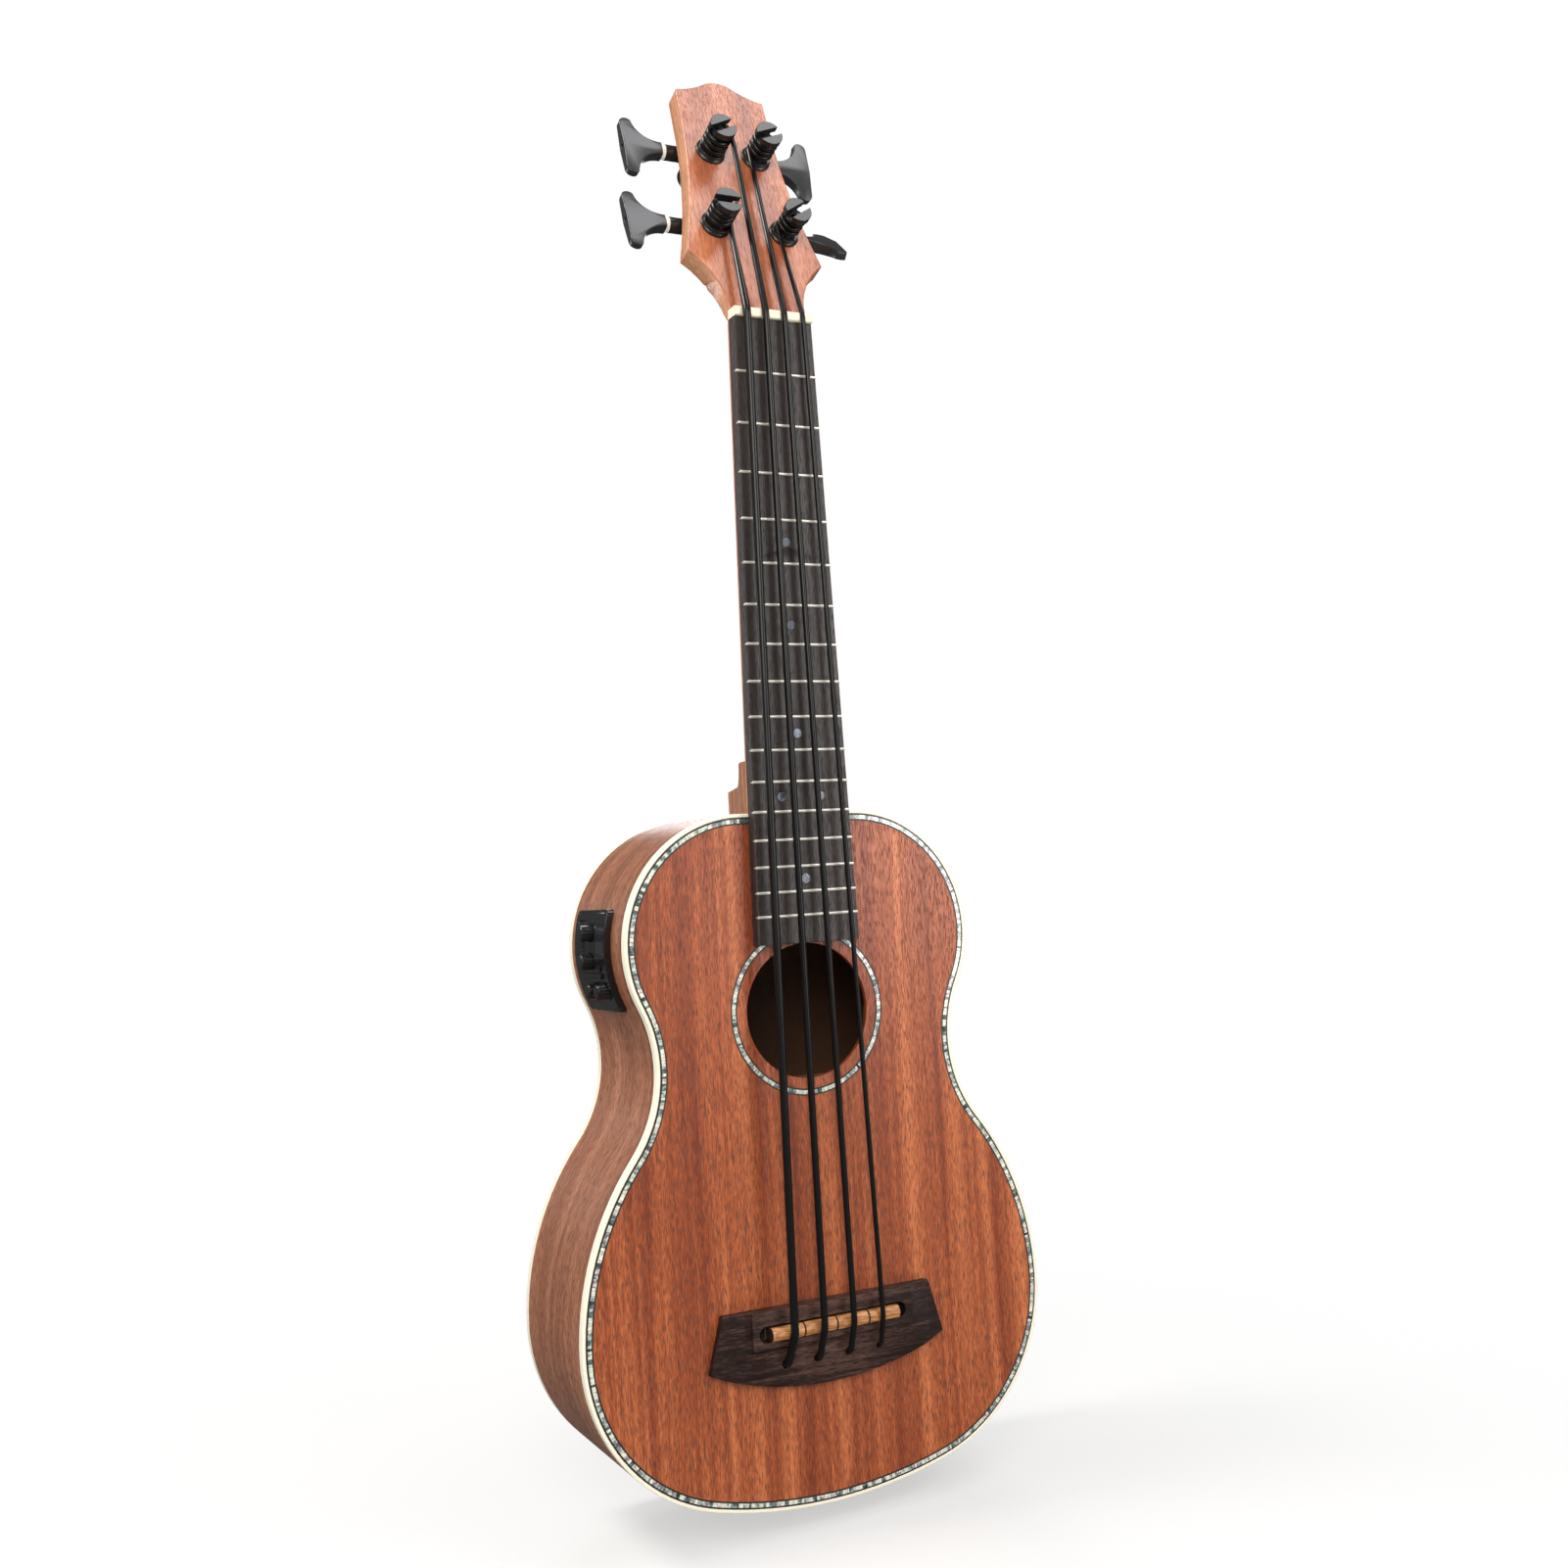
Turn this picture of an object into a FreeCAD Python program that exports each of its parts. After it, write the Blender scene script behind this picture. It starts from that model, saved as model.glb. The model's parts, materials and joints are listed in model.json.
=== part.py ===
import FreeCAD, Part
import math
import os
import re

import Sketcher
from FreeCAD import Placement, Rotation, Vector

# Acoustic-electric bass ukulele. Frame: origin on the tail at the strap pin, +Z up the neck,
# soundboard facing -Y, +X towards the treble side. Lengths are millimetres, angles degrees.

doc = FreeCAD.newDocument("bass_ukulele")
sheet = doc.addObject("Spreadsheet::Sheet", "sizes")

SIZES = {
    # body outline: half widths, and the shares of the body's length where they lie
    "body_length": 357, "tail_depth": 94, "neck_end_depth": 84,
    "lower_half_width": 133, "lower_height_share": 0.2661, "tail_radius": 260,
    "waist_half_width": 86.5, "waist_height_share": 0.6443, "waist_radius": 70,
    "upper_half_width": 100.5, "upper_height_share": 0.8123,
    # places along the body: saddle line, sound hole and the preamp's lower edge
    "saddle_height_share": 0.2605, "hole_height_share": 0.7073, "preamp_height_share": 0.7241,
    # plates, sides and edges
    "soundboard_thickness": 2.6, "back_thickness": 2.4, "side_thickness": 2.0,
    "binding_height": 5.0, "lining_width": 6.0, "lining_height": 9.0,
    "line_width": 0.8, "shell_width": 2.1, "inlay_depth": 1.2,
    # sound hole and rosette
    "hole_radius": 35.3, "rosette_radius": 44.5,
    # blocks and braces
    "block_half_width": 31, "neck_block_length": 36, "tail_block_length": 18, "graft_margin": 3,
    "brace_width": 6.0, "brace_depth": 9.0, "brace_tip": 3.0, "brace_taper": 26,
    "brace_clear_of_hole": 13, "brace_clear_of_plate": 3, "long_brace_start": 34,
    "upper_brace_share": 0.840, "middle_brace_share": 0.574, "lower_brace_share": 0.258,
    "glue_gap": 0.3,
    # strings: scale, spacing, heights
    "scale_length": 528, "nut_spacing": 11.2, "saddle_spacing": 17.2, "hole_spacing": 18,
    "string_size_first": 4.2, "string_size_second": 3.6, "string_size_third": 3.2,
    "string_size_fourth": 2.6, "string_clearance": 0.15,
    "saddle_crown": 13.5, "nut_action": 1.6, "nut_bend": 12, "saddle_bend": 8, "hole_bend": 5,
    "hole_bend_rise": 1.8, "knot_size": 7.5, "knot_length": 5.0,
    # neck and headstock
    "board_thickness": 7, "board_clear_of_hole": 0.2, "nut_half_width": 23.1, "twelfth_half_width": 28.2,
    "nut_thickness": 5, "nut_rise": 3.2, "nut_round_share": 0.25, "neck_depth": 16, "neck_end_depth_gain": 2,
    "neck_edge": 1, "heel_height": 16, "heel_depth": 73, "heel_tip_half_width": 9,
    "heel_radius": 12, "heel_half_width": 27,
    "head_tilt": 17.8, "head_step": 4.06, "head_thickness": 12, "head_length": 155,
    "head_crest": 9.4, "head_tip_half_width": 40.7, "head_tip_height": 42,
    "head_top_half_width": 27, "head_blend": 24, "blend_margin": 1.0, "throat_half_width": 28,
    # frets and dots
    "fret_width": 1.5, "fret_rise": 0.7, "fret_tang": 0.6, "fret_tang_depth": 2.0, "fret_count": 16,
    "dot_radius": 2.5, "dot_depth": 1.5,
    # bridge
    "bridge_above_saddle": 11.4, "bridge_length": 42.4, "bridge_half_width": 68,
    "bridge_top_half_width": 60, "bridge_tip_drop": 28, "bridge_thickness": 9.5, "block_margin": 3.8,
    "bridge_block_width": 18.6, "wing_thickness": 6.5, "wing_tip_thickness": 3.5,
    "heel_slope_thickness": 7.6, "heel_edge_thickness": 4.0,
    "string_hole_drop": 17, "slot_end_gap": 5.5, "slot_side_gap": 0.7, "slot_depth": 6.5,
    "saddle_width": 6.6, "saddle_length": 18.2, "saddle_joint": 0.4, "saddle_round": 2.2,
    "piezo_thickness": 1.5, "plate_half_width": 48, "plate_thickness": 2.4, "plate_margin": 4,
    "fit_clearance": 0.05, "seat_clearance": 0.3,
    # tuning machines, placed from the post's axis on the headstock face
    "upper_post_offset": 13.9, "upper_post_height": 112.3, "lower_post_offset": 20.7,
    "lower_post_height": 60.8, "post_height": 21, "post_head_radius": 7.75, "post_head_height": 3.6,
    "post_drum_radius": 4.6, "post_collar_radius": 7.6, "post_collar_height": 1.6,
    "post_shaft_radius": 3.5, "post_slot_width": 4.4, "post_slot_depth": 6.0, "post_bore_radius": 1.8,
    "post_bore_depth": 12,
    "bushing_radius": 5.0, "bushing_flange_radius": 8.6, "bushing_flange": 1.8, "bushing_length": 10,
    "gear_module": 0.85, "gear_teeth": 20, "tooth_share": 0.8, "gear_width": 4.2,
    "gear_gap_root": 1.0, "gear_gap_outer": 2.0, "thread_root": 1.25, "thread_crest": 0.55,
    "worm_pitch_radius": 3.8, "worm_length": 12.5, "key_shaft_radius": 2.4,
    "housing_wall": 1.3, "housing_gap": 0.4,
    "sleeve_radius": 4.4, "sleeve_reach": 19, "washer_radius": 4.2, "washer_thickness": 2.0,
    "key_length": 23, "key_half_width": 18.8, "key_neck_half_width": 4.0, "key_tip_radius": 4.0,
    "key_middle_thickness": 7.4, "key_tip_thickness": 4.2, "key_seat_depth": 12,
    "key_recess_radius": 1.5, "key_recess_depth": 2.5,
    "ear_radius": 3.6, "ear_thickness": 1.8, "ear_reach": 2.6,
    "screw_head_radius": 2.4, "screw_head_height": 1.2, "screw_radius": 1.1, "screw_length": 7.0,
    # string windings on the posts
    "winding_size_first": 2.8, "winding_size_second": 2.7, "winding_size_third": 2.6,
    "winding_size_fourth": 2.1, "winding_gap": 0.3, "winding_end_gap": 0.5, "winding_half_count": 6,
    "lead_run": 7.0, "lead_bend": 20,
    # preamp in the bass side, placed from its plate's front and lower edges
    "bezel_height": 53, "bezel_front": -27, "bezel_width": 46,
    "bezel_thickness": 3.6, "bezel_corner": 3.0, "bezel_well_floor": 1.4,
    "case_margin": 4.5, "case_depth": 34, "case_gap": 0.4,
    "knob_radius": 4.1, "knob_length": 8.2, "knob_stem_radius": 2.0, "knob_stem_length": 9,
    "knob_flute_count": 14, "knob_flute_radius": 0.45, "flute_share": 0.85,
    "knob_column": 21, "knob_second_column": 7.4, "knob_upper": 41, "knob_middle": 26.1,
    "knob_lower": 10.7, "knob_gap": 0.5,
    "display_place": 3.5, "display_width": 11.3, "display_low": 30.1, "display_height": 14.4,
    "display_thickness": 1.4,
    "button_length": 5.0, "button_width": 2.6, "button_depth": 4.0, "button_rise": 1.2,
    "button_place": 9.8, "button_upper": 22.9, "button_lower": 18.9, "button_travel": 0.8,
    "tray_margin": 1.3, "tray_nose": 5.6, "tray_wall": 1.0, "tray_ridge_count": 5, "tray_ridge": 0.5,
    "tray_gap": 0.2, "cell_radius": 10, "cell_thickness": 3.2, "cell_spare": 1.1,
    "plate_screw_inset": 3.2, "plate_screw_radius": 1.6, "plate_screw_length": 6,
    "plate_screw_shank_radius": 0.9, "plate_screw_head": 0.8, "plate_screw_sink": 0.2,
    # end-pin jack
    "jack_radius": 6.0, "jack_bore": 6.35, "jack_length": 34, "strap_radius": 9.5,
    "strap_neck_radius": 7.4, "strap_length": 12.0, "strap_flange": 2.2,
    # shared
    "overrun": 5.0,
}
for row, (alias, value) in enumerate(SIZES.items(), start=1):
    sheet.set(f"A{row}", alias)
    sheet.set(f"B{row}", str(value))
    sheet.setAlias(f"B{row}", alias)
doc.recompute()


class Sizes:
    """The driving dimensions, read from the sheet."""

    def __getattr__(self, alias):
        return float(sheet.get(alias))


size = Sizes()
X, Y, Z = Vector(1, 0, 0), Vector(0, 1, 0), Vector(0, 0, 1)
nodes = {}


def bound(text):
    """An expression on the sheet: every alias in the text becomes sizes.alias."""
    return re.sub(r"[a-z_]+", lambda m: f"sizes.{m[0]}" if m[0] in SIZES else m[0], text)


def keep(label, thing):
    """Labels a finished sub-part and lists it for export."""
    thing.Label = label
    nodes[label] = thing
    return thing


def feature(label, shape, placement=Placement()):
    """A sub-part whose form neither a body nor a primitive fits."""
    thing = doc.addObject("Part::Feature", label)
    thing.Shape = shape
    thing.Placement = placement
    return keep(label, thing)


def group(label, members):
    """Several separate solids kept in one node."""
    thing = doc.addObject("Part::Compound", label)
    thing.Links = members
    return keep(label, thing)


def origin_plane(body, role):
    return next(plane for plane in body.Origin.OriginFeatures if plane.Role == role)


def sketch_of(body, name, role, corners):
    """A closed polygon on an origin plane, every corner bound to the sheet.

    Each corner is a pair of expressions, measured from the origin."""
    sketch = body.newObject("Sketcher::SketchObject", name)
    sketch.AttachmentSupport = [(origin_plane(body, role), "")]
    sketch.MapMode = "FlatFace"
    places = [(sheet_value(a), sheet_value(b)) for a, b in corners]
    for index, (a, b) in enumerate(places):
        c, d = places[(index + 1) % len(places)]
        sketch.addGeometry(Part.LineSegment(Vector(a, b, 0), Vector(c, d, 0)), False)
    for index in range(len(places)):
        sketch.addConstraint(Sketcher.Constraint("Coincident", index, 2, (index + 1) % len(places), 1))
    for index, (place, pair) in enumerate(zip(places, corners)):
        for kind, at, text in zip(("DistanceX", "DistanceY"), place, pair):
            number = sketch.addConstraint(Sketcher.Constraint(kind, -1, 1, index, 1, at))
            sketch.renameConstraint(number, f"{kind}{index}")
            sketch.setExpression(f"Constraints.{kind}{index}", bound(text))
    return sketch


def sheet_value(text):
    """The number that an expression gives now."""
    return float(sheet.evalExpression(bound(text)))


def turned(name, profile):
    """A body of revolution about its own Z from (radius, height) corners."""
    body = doc.addObject("PartDesign::Body", name)
    sketch = sketch_of(body, name + "_profile", "XZ_Plane", profile)
    spin = body.newObject("PartDesign::Revolution", name + "_turn")
    spin.Profile = sketch
    spin.ReferenceAxis = (sketch, ["V_Axis"])
    spin.Angle = 360
    doc.recompute()
    return body


def padded(name, role, corners, length, midplane=False):
    """A body made of one polygon pad on an origin plane."""
    body = doc.addObject("PartDesign::Body", name)
    sketch = sketch_of(body, name + "_outline", role, corners)
    pad = body.newObject("PartDesign::Pad", name + "_pad")
    pad.Profile = sketch
    pad.Midplane = midplane
    pad.setExpression("Length", bound(length))
    doc.recompute()
    return body


def cut(name, base, *tools):
    """The base less every tool, one boolean object after another."""
    for number, tool in enumerate(tools):
        less = doc.addObject("Part::Cut", f"{name}_cut{number}")
        less.Base = base
        less.Tool = tool
        base = less
    doc.recompute()
    return base


# Body outline: tangent arcs from the tail up to the neck, mirrored in X = 0

front = -size.tail_depth / 2
lower_height = size.body_length * size.lower_height_share
waist_height = size.body_length * size.waist_height_share
upper_height = size.body_length * size.upper_height_share
hole_height = size.body_length * size.hole_height_share


def outline_arcs(inset):
    """Arcs (centre x, centre z, radius, start, stop) of the treble half; the waist bends inwards."""
    half, height = size.lower_half_width, lower_height
    corner = (2 * size.tail_radius * height - half**2 - height**2) / (2 * (size.tail_radius - half))
    waist_x = size.waist_half_width + size.waist_radius
    turn = math.atan2(height - size.tail_radius, half - corner)

    def to_waist(half_width, place):
        """Radius of the arc that is upright at this width and touches the waist arc."""
        across, along = waist_x - half_width, waist_height - place
        return (across**2 + along**2 - size.waist_radius**2) / (2 * (size.waist_radius - across))

    flank = to_waist(half, height)
    upper = to_waist(size.upper_half_width, upper_height)
    leave = math.atan2(waist_height - height, waist_x - half + flank)
    enter = math.atan2(waist_height - upper_height, waist_x - size.upper_half_width + upper)
    shoulder = size.body_length - upper_height
    right = math.pi / 2
    return [
        (0, size.tail_radius, size.tail_radius - inset, -right, turn),
        (half - corner, height, corner - inset, turn, 0),
        (half - flank, height, flank - inset, 0, leave),
        (waist_x, waist_height, -(size.waist_radius + inset), leave, enter),
        (size.upper_half_width - upper, upper_height, upper - inset, enter, 0),
        (size.upper_half_width - shoulder, upper_height, shoulder - inset, 0, right),
    ]


def on_arc(arc, angle, y, side=1):
    x, z, radius = arc[:3]
    return Vector(side * (x + radius * math.cos(angle)), y, z + radius * math.sin(angle))


def outline_wire(inset, y):
    edges = []
    for side in (1, -1):
        for arc in outline_arcs(inset):
            start, stop = arc[3:]
            points = [on_arc(arc, angle, y, side) for angle in (start, (start + stop) / 2, stop)]
            edges.append(Part.Arc(*points).toShape())
        top = points[-1]
        edges.append(Part.LineSegment(top, Vector(0, y, top.z)).toShape())
    return Part.Wire(Part.__sortEdges__(edges))


def prism(inset, y_start, y_stop):
    return Part.Face(outline_wire(inset, y_start)).extrude(Y * (y_stop - y_start))


def rim(outer, inner, y_start, y_stop):
    """The band between two insets of the outline."""
    return prism(outer, y_start, y_stop).cut(prism(inner, y_start, y_stop))


back_tilt = math.degrees(math.atan2(size.tail_depth - size.neck_end_depth, size.body_length))
far = size.lower_half_width + size.overrun
behind = -front + size.overrun


def back_layer(outer, inner):
    """The layer between two depths under the back's sloping outer face."""
    layer = Part.makeBox(2 * far, inner - outer, 2 * size.body_length,
                         Vector(-far, -inner, -size.body_length / 2))
    return layer.rotate(Vector(), X, back_tilt).translate(Y * -front)


def half_width_at(height, inset):
    """Half width of the outline at a height, from the arc that crosses it."""
    for x, z, radius, start, stop in outline_arcs(inset):
        low, high = sorted(z + radius * math.sin(angle) for angle in (start, stop))
        if low <= height <= high:
            return x + math.copysign(math.sqrt(radius**2 - (height - z)**2), radius)
    return 0.0


# String routes: hole, saddle, nut and post, from the bass side to the treble side

string_sizes = [size.string_size_first, size.string_size_second, size.string_size_third,
                size.string_size_fourth]
winding_sizes = [size.winding_size_first, size.winding_size_second, size.winding_size_third,
                 size.winding_size_fourth]
saddle_height = size.body_length * size.saddle_height_share
nut_height = saddle_height + size.scale_length
hole_row = saddle_height - size.string_hole_drop
board_top = front - size.board_thickness
head_base = Vector(0, front - size.head_step, nut_height)
head = Placement(head_base, Rotation(X, -size.head_tilt))


def seat(x, depth, height, turn=Rotation()):
    """A placement on the headstock: x across, depth behind its face, height up the face."""
    return head.multiply(Placement(Vector(x, depth, height), turn))


# (side, across, up) of each post in string order, and the way its winding climbs
POSTS = [
    (-1, size.lower_post_offset, size.lower_post_height, 1),
    (-1, size.upper_post_offset, size.upper_post_height, -1),
    (1, size.upper_post_offset, size.upper_post_height, 1),
    (1, size.lower_post_offset, size.lower_post_height, 1),
]


def from_middle(number):
    """How many string spacings a string lies from the middle."""
    return number - (len(POSTS) - 1) / 2


def rounded_path(points, radii):
    """Straight runs joined by tangent arcs of the given radii."""
    edges = []
    begin = points[0]
    for before, corner, after, radius in zip(points, points[1:], points[2:], radii):
        into = (corner - before).normalize()
        out = (after - corner).normalize()
        turn = into.getAngle(out)
        reach = radius * math.tan(turn / 2)
        first, last = corner - into * reach, corner + out * reach
        inward = (out - into).normalize()
        middle = corner + inward * (radius / math.cos(turn / 2) - radius)
        edges += [Part.LineSegment(begin, first).toShape(), Part.Arc(first, middle, last).toShape()]
        begin = last
    edges.append(Part.LineSegment(begin, points[-1]).toShape())
    return Part.Wire(edges)


def ring_at_start(edge, radius):
    return Part.Wire(Part.makeCircle(radius, edge.valueAt(edge.FirstParameter),
                                     edge.tangentAt(edge.FirstParameter)))


def tube(path, radius):
    """A round tube along straight runs and arcs: a rod for each run and a ring's part for each arc."""
    lengths = []
    for edge in path.Edges:
        section = Part.Face(ring_at_start(edge, radius))
        if isinstance(edge.Curve, Part.Circle):
            turn = math.degrees(edge.LastParameter - edge.FirstParameter)
            lengths.append(section.revolve(edge.Curve.Center, edge.Curve.Axis, turn))
        else:
            lengths.append(section.extrude(edge.tangentAt(edge.FirstParameter) * edge.Length))
    return lengths[0].fuse(lengths[1:]).removeSplitter()


def winding_points(number):
    """Helix of one winding in headstock coordinates: (point, direction) at each half turn.

    Its two ends run level, so the string meets the post square to it."""
    side, across, up, climb = POSTS[number]
    thick = winding_sizes[number]
    radius = size.post_drum_radius + size.winding_gap + thick / 2
    floor = size.bushing_flange + size.fit_clearance + size.post_collar_height
    ceiling = size.post_height - size.post_head_height
    low = floor + size.winding_end_gap + thick / 2
    rise = ceiling - size.winding_end_gap - thick / 2 - low
    start = low if climb > 0 else low + rise
    nut_x = from_middle(number) * size.nut_spacing
    run = math.hypot(side * across - nut_x, up)
    toward = math.atan2(-up, nut_x - side * across)
    begin = toward + math.acos(radius / run) * (1 if side < 0 else -1)
    points = []
    halves = int(size.winding_half_count)
    for half in range(halves + 1):
        angle = begin - side * half * math.pi
        place = Vector(side * across + radius * math.cos(angle),
                       -(start + climb * rise * half / halves),
                       up + radius * math.sin(angle))
        level = half in (0, halves)
        slope = 0 if level else -climb * rise / halves / (radius * math.pi)
        heading = Vector(side * math.sin(angle), slope, -side * math.cos(angle)).normalize()
        points.append((place, heading))
    return points, thick


def arc_from(start, heading, stop):
    """The arc that leaves a point along a heading and ends at another point."""
    chord = stop - start
    off = heading - chord * (heading.dot(chord) / chord.dot(chord))
    bend = heading.getAngle(chord)
    middle = start + chord / 2 + off.normalize() * (chord.Length / 2 * math.tan(bend / 2))
    return Part.Arc(start, middle, stop).toShape()


def biarc(start, start_heading, stop, stop_heading):
    """Two arcs that join two points with the given headings."""
    chord = stop - start
    both = start_heading + stop_heading
    spread = 2 * (1 - start_heading.dot(stop_heading))
    along = chord.dot(both)
    reach = (math.sqrt(along**2 + spread * chord.dot(chord)) - along) / spread
    joint = (start + start_heading * reach + stop - stop_heading * reach) / 2
    second = arc_from(stop, stop_heading * -1, joint)
    middle = second.valueAt((second.FirstParameter + second.LastParameter) / 2)
    return [arc_from(start, start_heading, joint), Part.Arc(joint, middle, stop).toShape()]


def winding(number):
    """One unbroken tube round its post, with a straight lead of one diameter at each end."""
    points, thick = winding_points(number)
    first, last = points[0], points[-1]
    edges = [Part.LineSegment(first[0] - first[1] * thick, first[0]).toShape()]
    for (start, start_heading), (stop, stop_heading) in zip(points, points[1:]):
        edges += biarc(start, start_heading, stop, stop_heading)
    edges.append(Part.LineSegment(last[0], last[0] + last[1] * thick).toShape())
    path = Part.Wire(edges)
    samples = [edge.valueAt(edge.FirstParameter + (edge.LastParameter - edge.FirstParameter) * share)
               for edge in edges for share in SAMPLE_SHARES]
    apart = min(one.distanceToPoint(other) for index, one in enumerate(samples)
                for other in samples[index + 2 * len(SAMPLE_SHARES) * BIARC_EDGES:])
    solid = path.makePipeShell([ring_at_start(edges[0], thick / 2)], True, False)
    print(f"winding {number + 1}: least gap to itself {apart - thick:.2f} mm,",
          f"volume {solid.Volume / (math.pi * thick**2 / 4 * path.Length):.4f} of section times length")
    return solid


SAMPLE_SHARES = (0.0, 0.25, 0.5, 0.75)
BIARC_EDGES = 2


def string_points(number):
    """Corners of a string's route from its knot to the lead of its winding, and the bend radii."""
    side_step = from_middle(number)
    radius = string_sizes[number] / 2
    saddle_x = side_step * size.saddle_spacing
    hole_x = side_step * size.hole_spacing
    inside = front + size.soundboard_thickness + size.plate_thickness
    knot = Vector(hole_x, inside + size.knot_length, hole_row)
    mouth = Vector(hole_x, front - size.wing_thickness - size.hole_bend_rise, hole_row)
    crown = Vector(saddle_x, front - size.saddle_crown - radius, saddle_height)
    nut = Vector(side_step * size.nut_spacing, board_top - size.nut_action - radius,
                 nut_height + size.nut_thickness / 2)
    points, thick = winding_points(number)
    start, heading = points[0]
    lead = head.multVec(start - heading * thick)
    bend = head.multVec(start - heading * (thick + size.lead_run))
    return [knot, mouth, crown, nut, bend, lead]


def string_path(number, stop_at_nut=False):
    points = string_points(number)
    radii = [size.hole_bend, size.saddle_bend, size.nut_bend]
    if stop_at_nut:
        points = points[:4] + [points[3] + (points[4] - points[3]).normalize() * 2 * size.nut_thickness]
    return rounded_path(points[:5], radii)


def string_tool(number):
    """The space that a string needs in the nut, saddle, bridge and soundboard."""
    return tube(string_path(number, True), string_sizes[number] / 2 + size.string_clearance)


def string_solid(number):
    """Knot, even run to just past the nut, taper over the headstock, and thin run to the post."""
    points = string_points(number)
    thick, thin = string_sizes[number] / 2, winding_sizes[number] / 2
    main = string_path(number, True)
    along = (points[4] - points[3]).normalize()
    past_nut = points[3] + along * 2 * size.nut_thickness
    into = (points[5] - points[4]).normalize()
    turn = along.getAngle(into)
    reach = size.lead_bend * math.tan(turn / 2)
    taper_end = points[4] - along * (reach + size.overrun)
    taper = Part.makeCone(thick, thin, (taper_end - past_nut).Length, past_nut, along)
    thin_run = tube(rounded_path([taper_end, points[4], points[5]], [size.lead_bend]), thin)
    knot = Part.makeCylinder(size.knot_size / 2, size.knot_length,
                             points[0] - Y * size.knot_length + Y * size.fit_clearance, Y)
    return knot.fuse([tube(main, thick), taper, thin_run]).removeSplitter()


string_tools = [string_tool(number) for number in range(len(POSTS))]


def less_strings(shape):
    return shape.cut(string_tools)


# Body shell

def disc(radius, y_start, y_stop):
    return Part.makeCylinder(radius, y_stop - y_start, Vector(0, y_start, hole_height), Y)


def ring(outer, inner, y_start, y_stop):
    return disc(outer, y_start, y_stop).cut(disc(inner, y_start, y_stop))


binding = size.side_thickness
purfling = 2 * size.line_width + size.shell_width
inlay_floor = front + size.inlay_depth
under_top = front + size.soundboard_thickness
rosette = size.rosette_radius

soundboard = prism(binding, inlay_floor, under_top).fuse(prism(binding + purfling, front, inlay_floor))
soundboard = soundboard.cut([disc(size.hole_radius, front, under_top),
                             ring(rosette, rosette - purfling, front, inlay_floor)])
feature("soundboard", less_strings(soundboard.removeSplitter()))

feature("back_plate", prism(binding, -behind, behind).common(back_layer(0, size.back_thickness)))
feature("binding_front", rim(0, binding, front, front + size.binding_height))
feature("binding_back", rim(0, binding, -behind, behind).common(back_layer(0, size.binding_height)))

insets = [binding, binding + size.line_width, binding + size.line_width + size.shell_width,
          binding + purfling]
radii = [rosette - (inset - binding) for inset in insets]
feature("purfling_shell", rim(insets[1], insets[2], front, inlay_floor))
feature("rosette_shell", ring(radii[1], radii[2], front, inlay_floor))
feature("inlay_lines", Part.makeCompound([
    rim(insets[0], insets[1], front, inlay_floor), rim(insets[2], insets[3], front, inlay_floor),
    ring(radii[0], radii[1], front, inlay_floor), ring(radii[2], radii[3], front, inlay_floor)]))

preamp_low = size.body_length * size.preamp_height_share
preamp_top = preamp_low + size.bezel_height
bezel_back = size.bezel_front + size.bezel_width
preamp_hole = Part.makeBox(far, size.bezel_width - 2 * size.case_margin,
                           size.bezel_height - 2 * size.case_margin,
                           Vector(-far, size.bezel_front + size.case_margin, preamp_low + size.case_margin))
jack_hole = Part.makeCylinder(size.jack_radius + size.fit_clearance, size.tail_radius,
                              Vector(0, 0, -size.overrun), Z)
half_space = Part.makeBox(far, 2 * behind, 2 * size.body_length, Vector(0, -behind, -size.overrun))
sides = rim(0, size.side_thickness, front + size.binding_height, behind)
sides = sides.common(back_layer(size.binding_height, 2 * size.tail_depth))
graft_half_width = size.jack_radius + size.graft_margin
graft_space = Part.makeBox(2 * graft_half_width, 2 * behind, 2 * size.tail_block_length,
                           Vector(-graft_half_width, -behind, -size.tail_block_length))
feature("end_graft", sides.common(graft_space).cut(jack_hole))
sides = sides.cut(graft_space)
feature("side_treble", sides.common(half_space))
feature("side_bass", sides.cut([half_space, preamp_hole]))

block = size.block_half_width
inner_front = under_top
back_inside = back_layer(size.back_thickness, 2 * size.tail_depth)
neck_block_low = size.body_length - size.side_thickness - size.neck_block_length
neck_block = Part.makeBox(2 * block, 2 * behind, size.neck_block_length,
                          Vector(-block, inner_front, neck_block_low))
feature("neck_block", neck_block.common(back_inside))
tail_block = Part.makeBox(2 * block, 2 * behind, size.tail_block_length,
                          Vector(-block, inner_front, 0))
tail_block = tail_block.common(prism(size.side_thickness, front, behind)).common(back_inside)
feature("tail_block", tail_block.cut(jack_hole))

lining_band = rim(size.side_thickness, size.side_thickness + size.lining_width, front, behind)
between_blocks = Part.makeBox(2 * block, 2 * behind, 2 * size.body_length,
                              Vector(-block, -behind, -size.overrun))
lining_front = lining_band.common(Part.makeBox(2 * far, size.lining_height, size.body_length,
                                               Vector(-far, inner_front, 0)))
lining_back = lining_band.common(back_layer(size.back_thickness, size.back_thickness + size.lining_height))
feature("linings", Part.makeCompound([solid for band in (lining_front, lining_back)
                                      for solid in band.cut(between_blocks).Solids]))


# Braces: tapered bars glued under the plates

def tapered_bar(half_length):
    """A bar along X with thin ends, its glued face on Y = 0 and its ridge towards +Y."""
    shoulder = half_length - size.brace_taper
    corners = [(-half_length, 0), (half_length, 0), (half_length, size.brace_tip),
               (shoulder, size.brace_depth), (-shoulder, size.brace_depth), (-half_length, size.brace_tip)]
    wire = Part.makePolygon([Vector(x, y, -size.brace_width / 2) for x, y in corners + corners[:1]])
    return Part.Face(wire).extrude(Z * size.brace_width)


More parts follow.
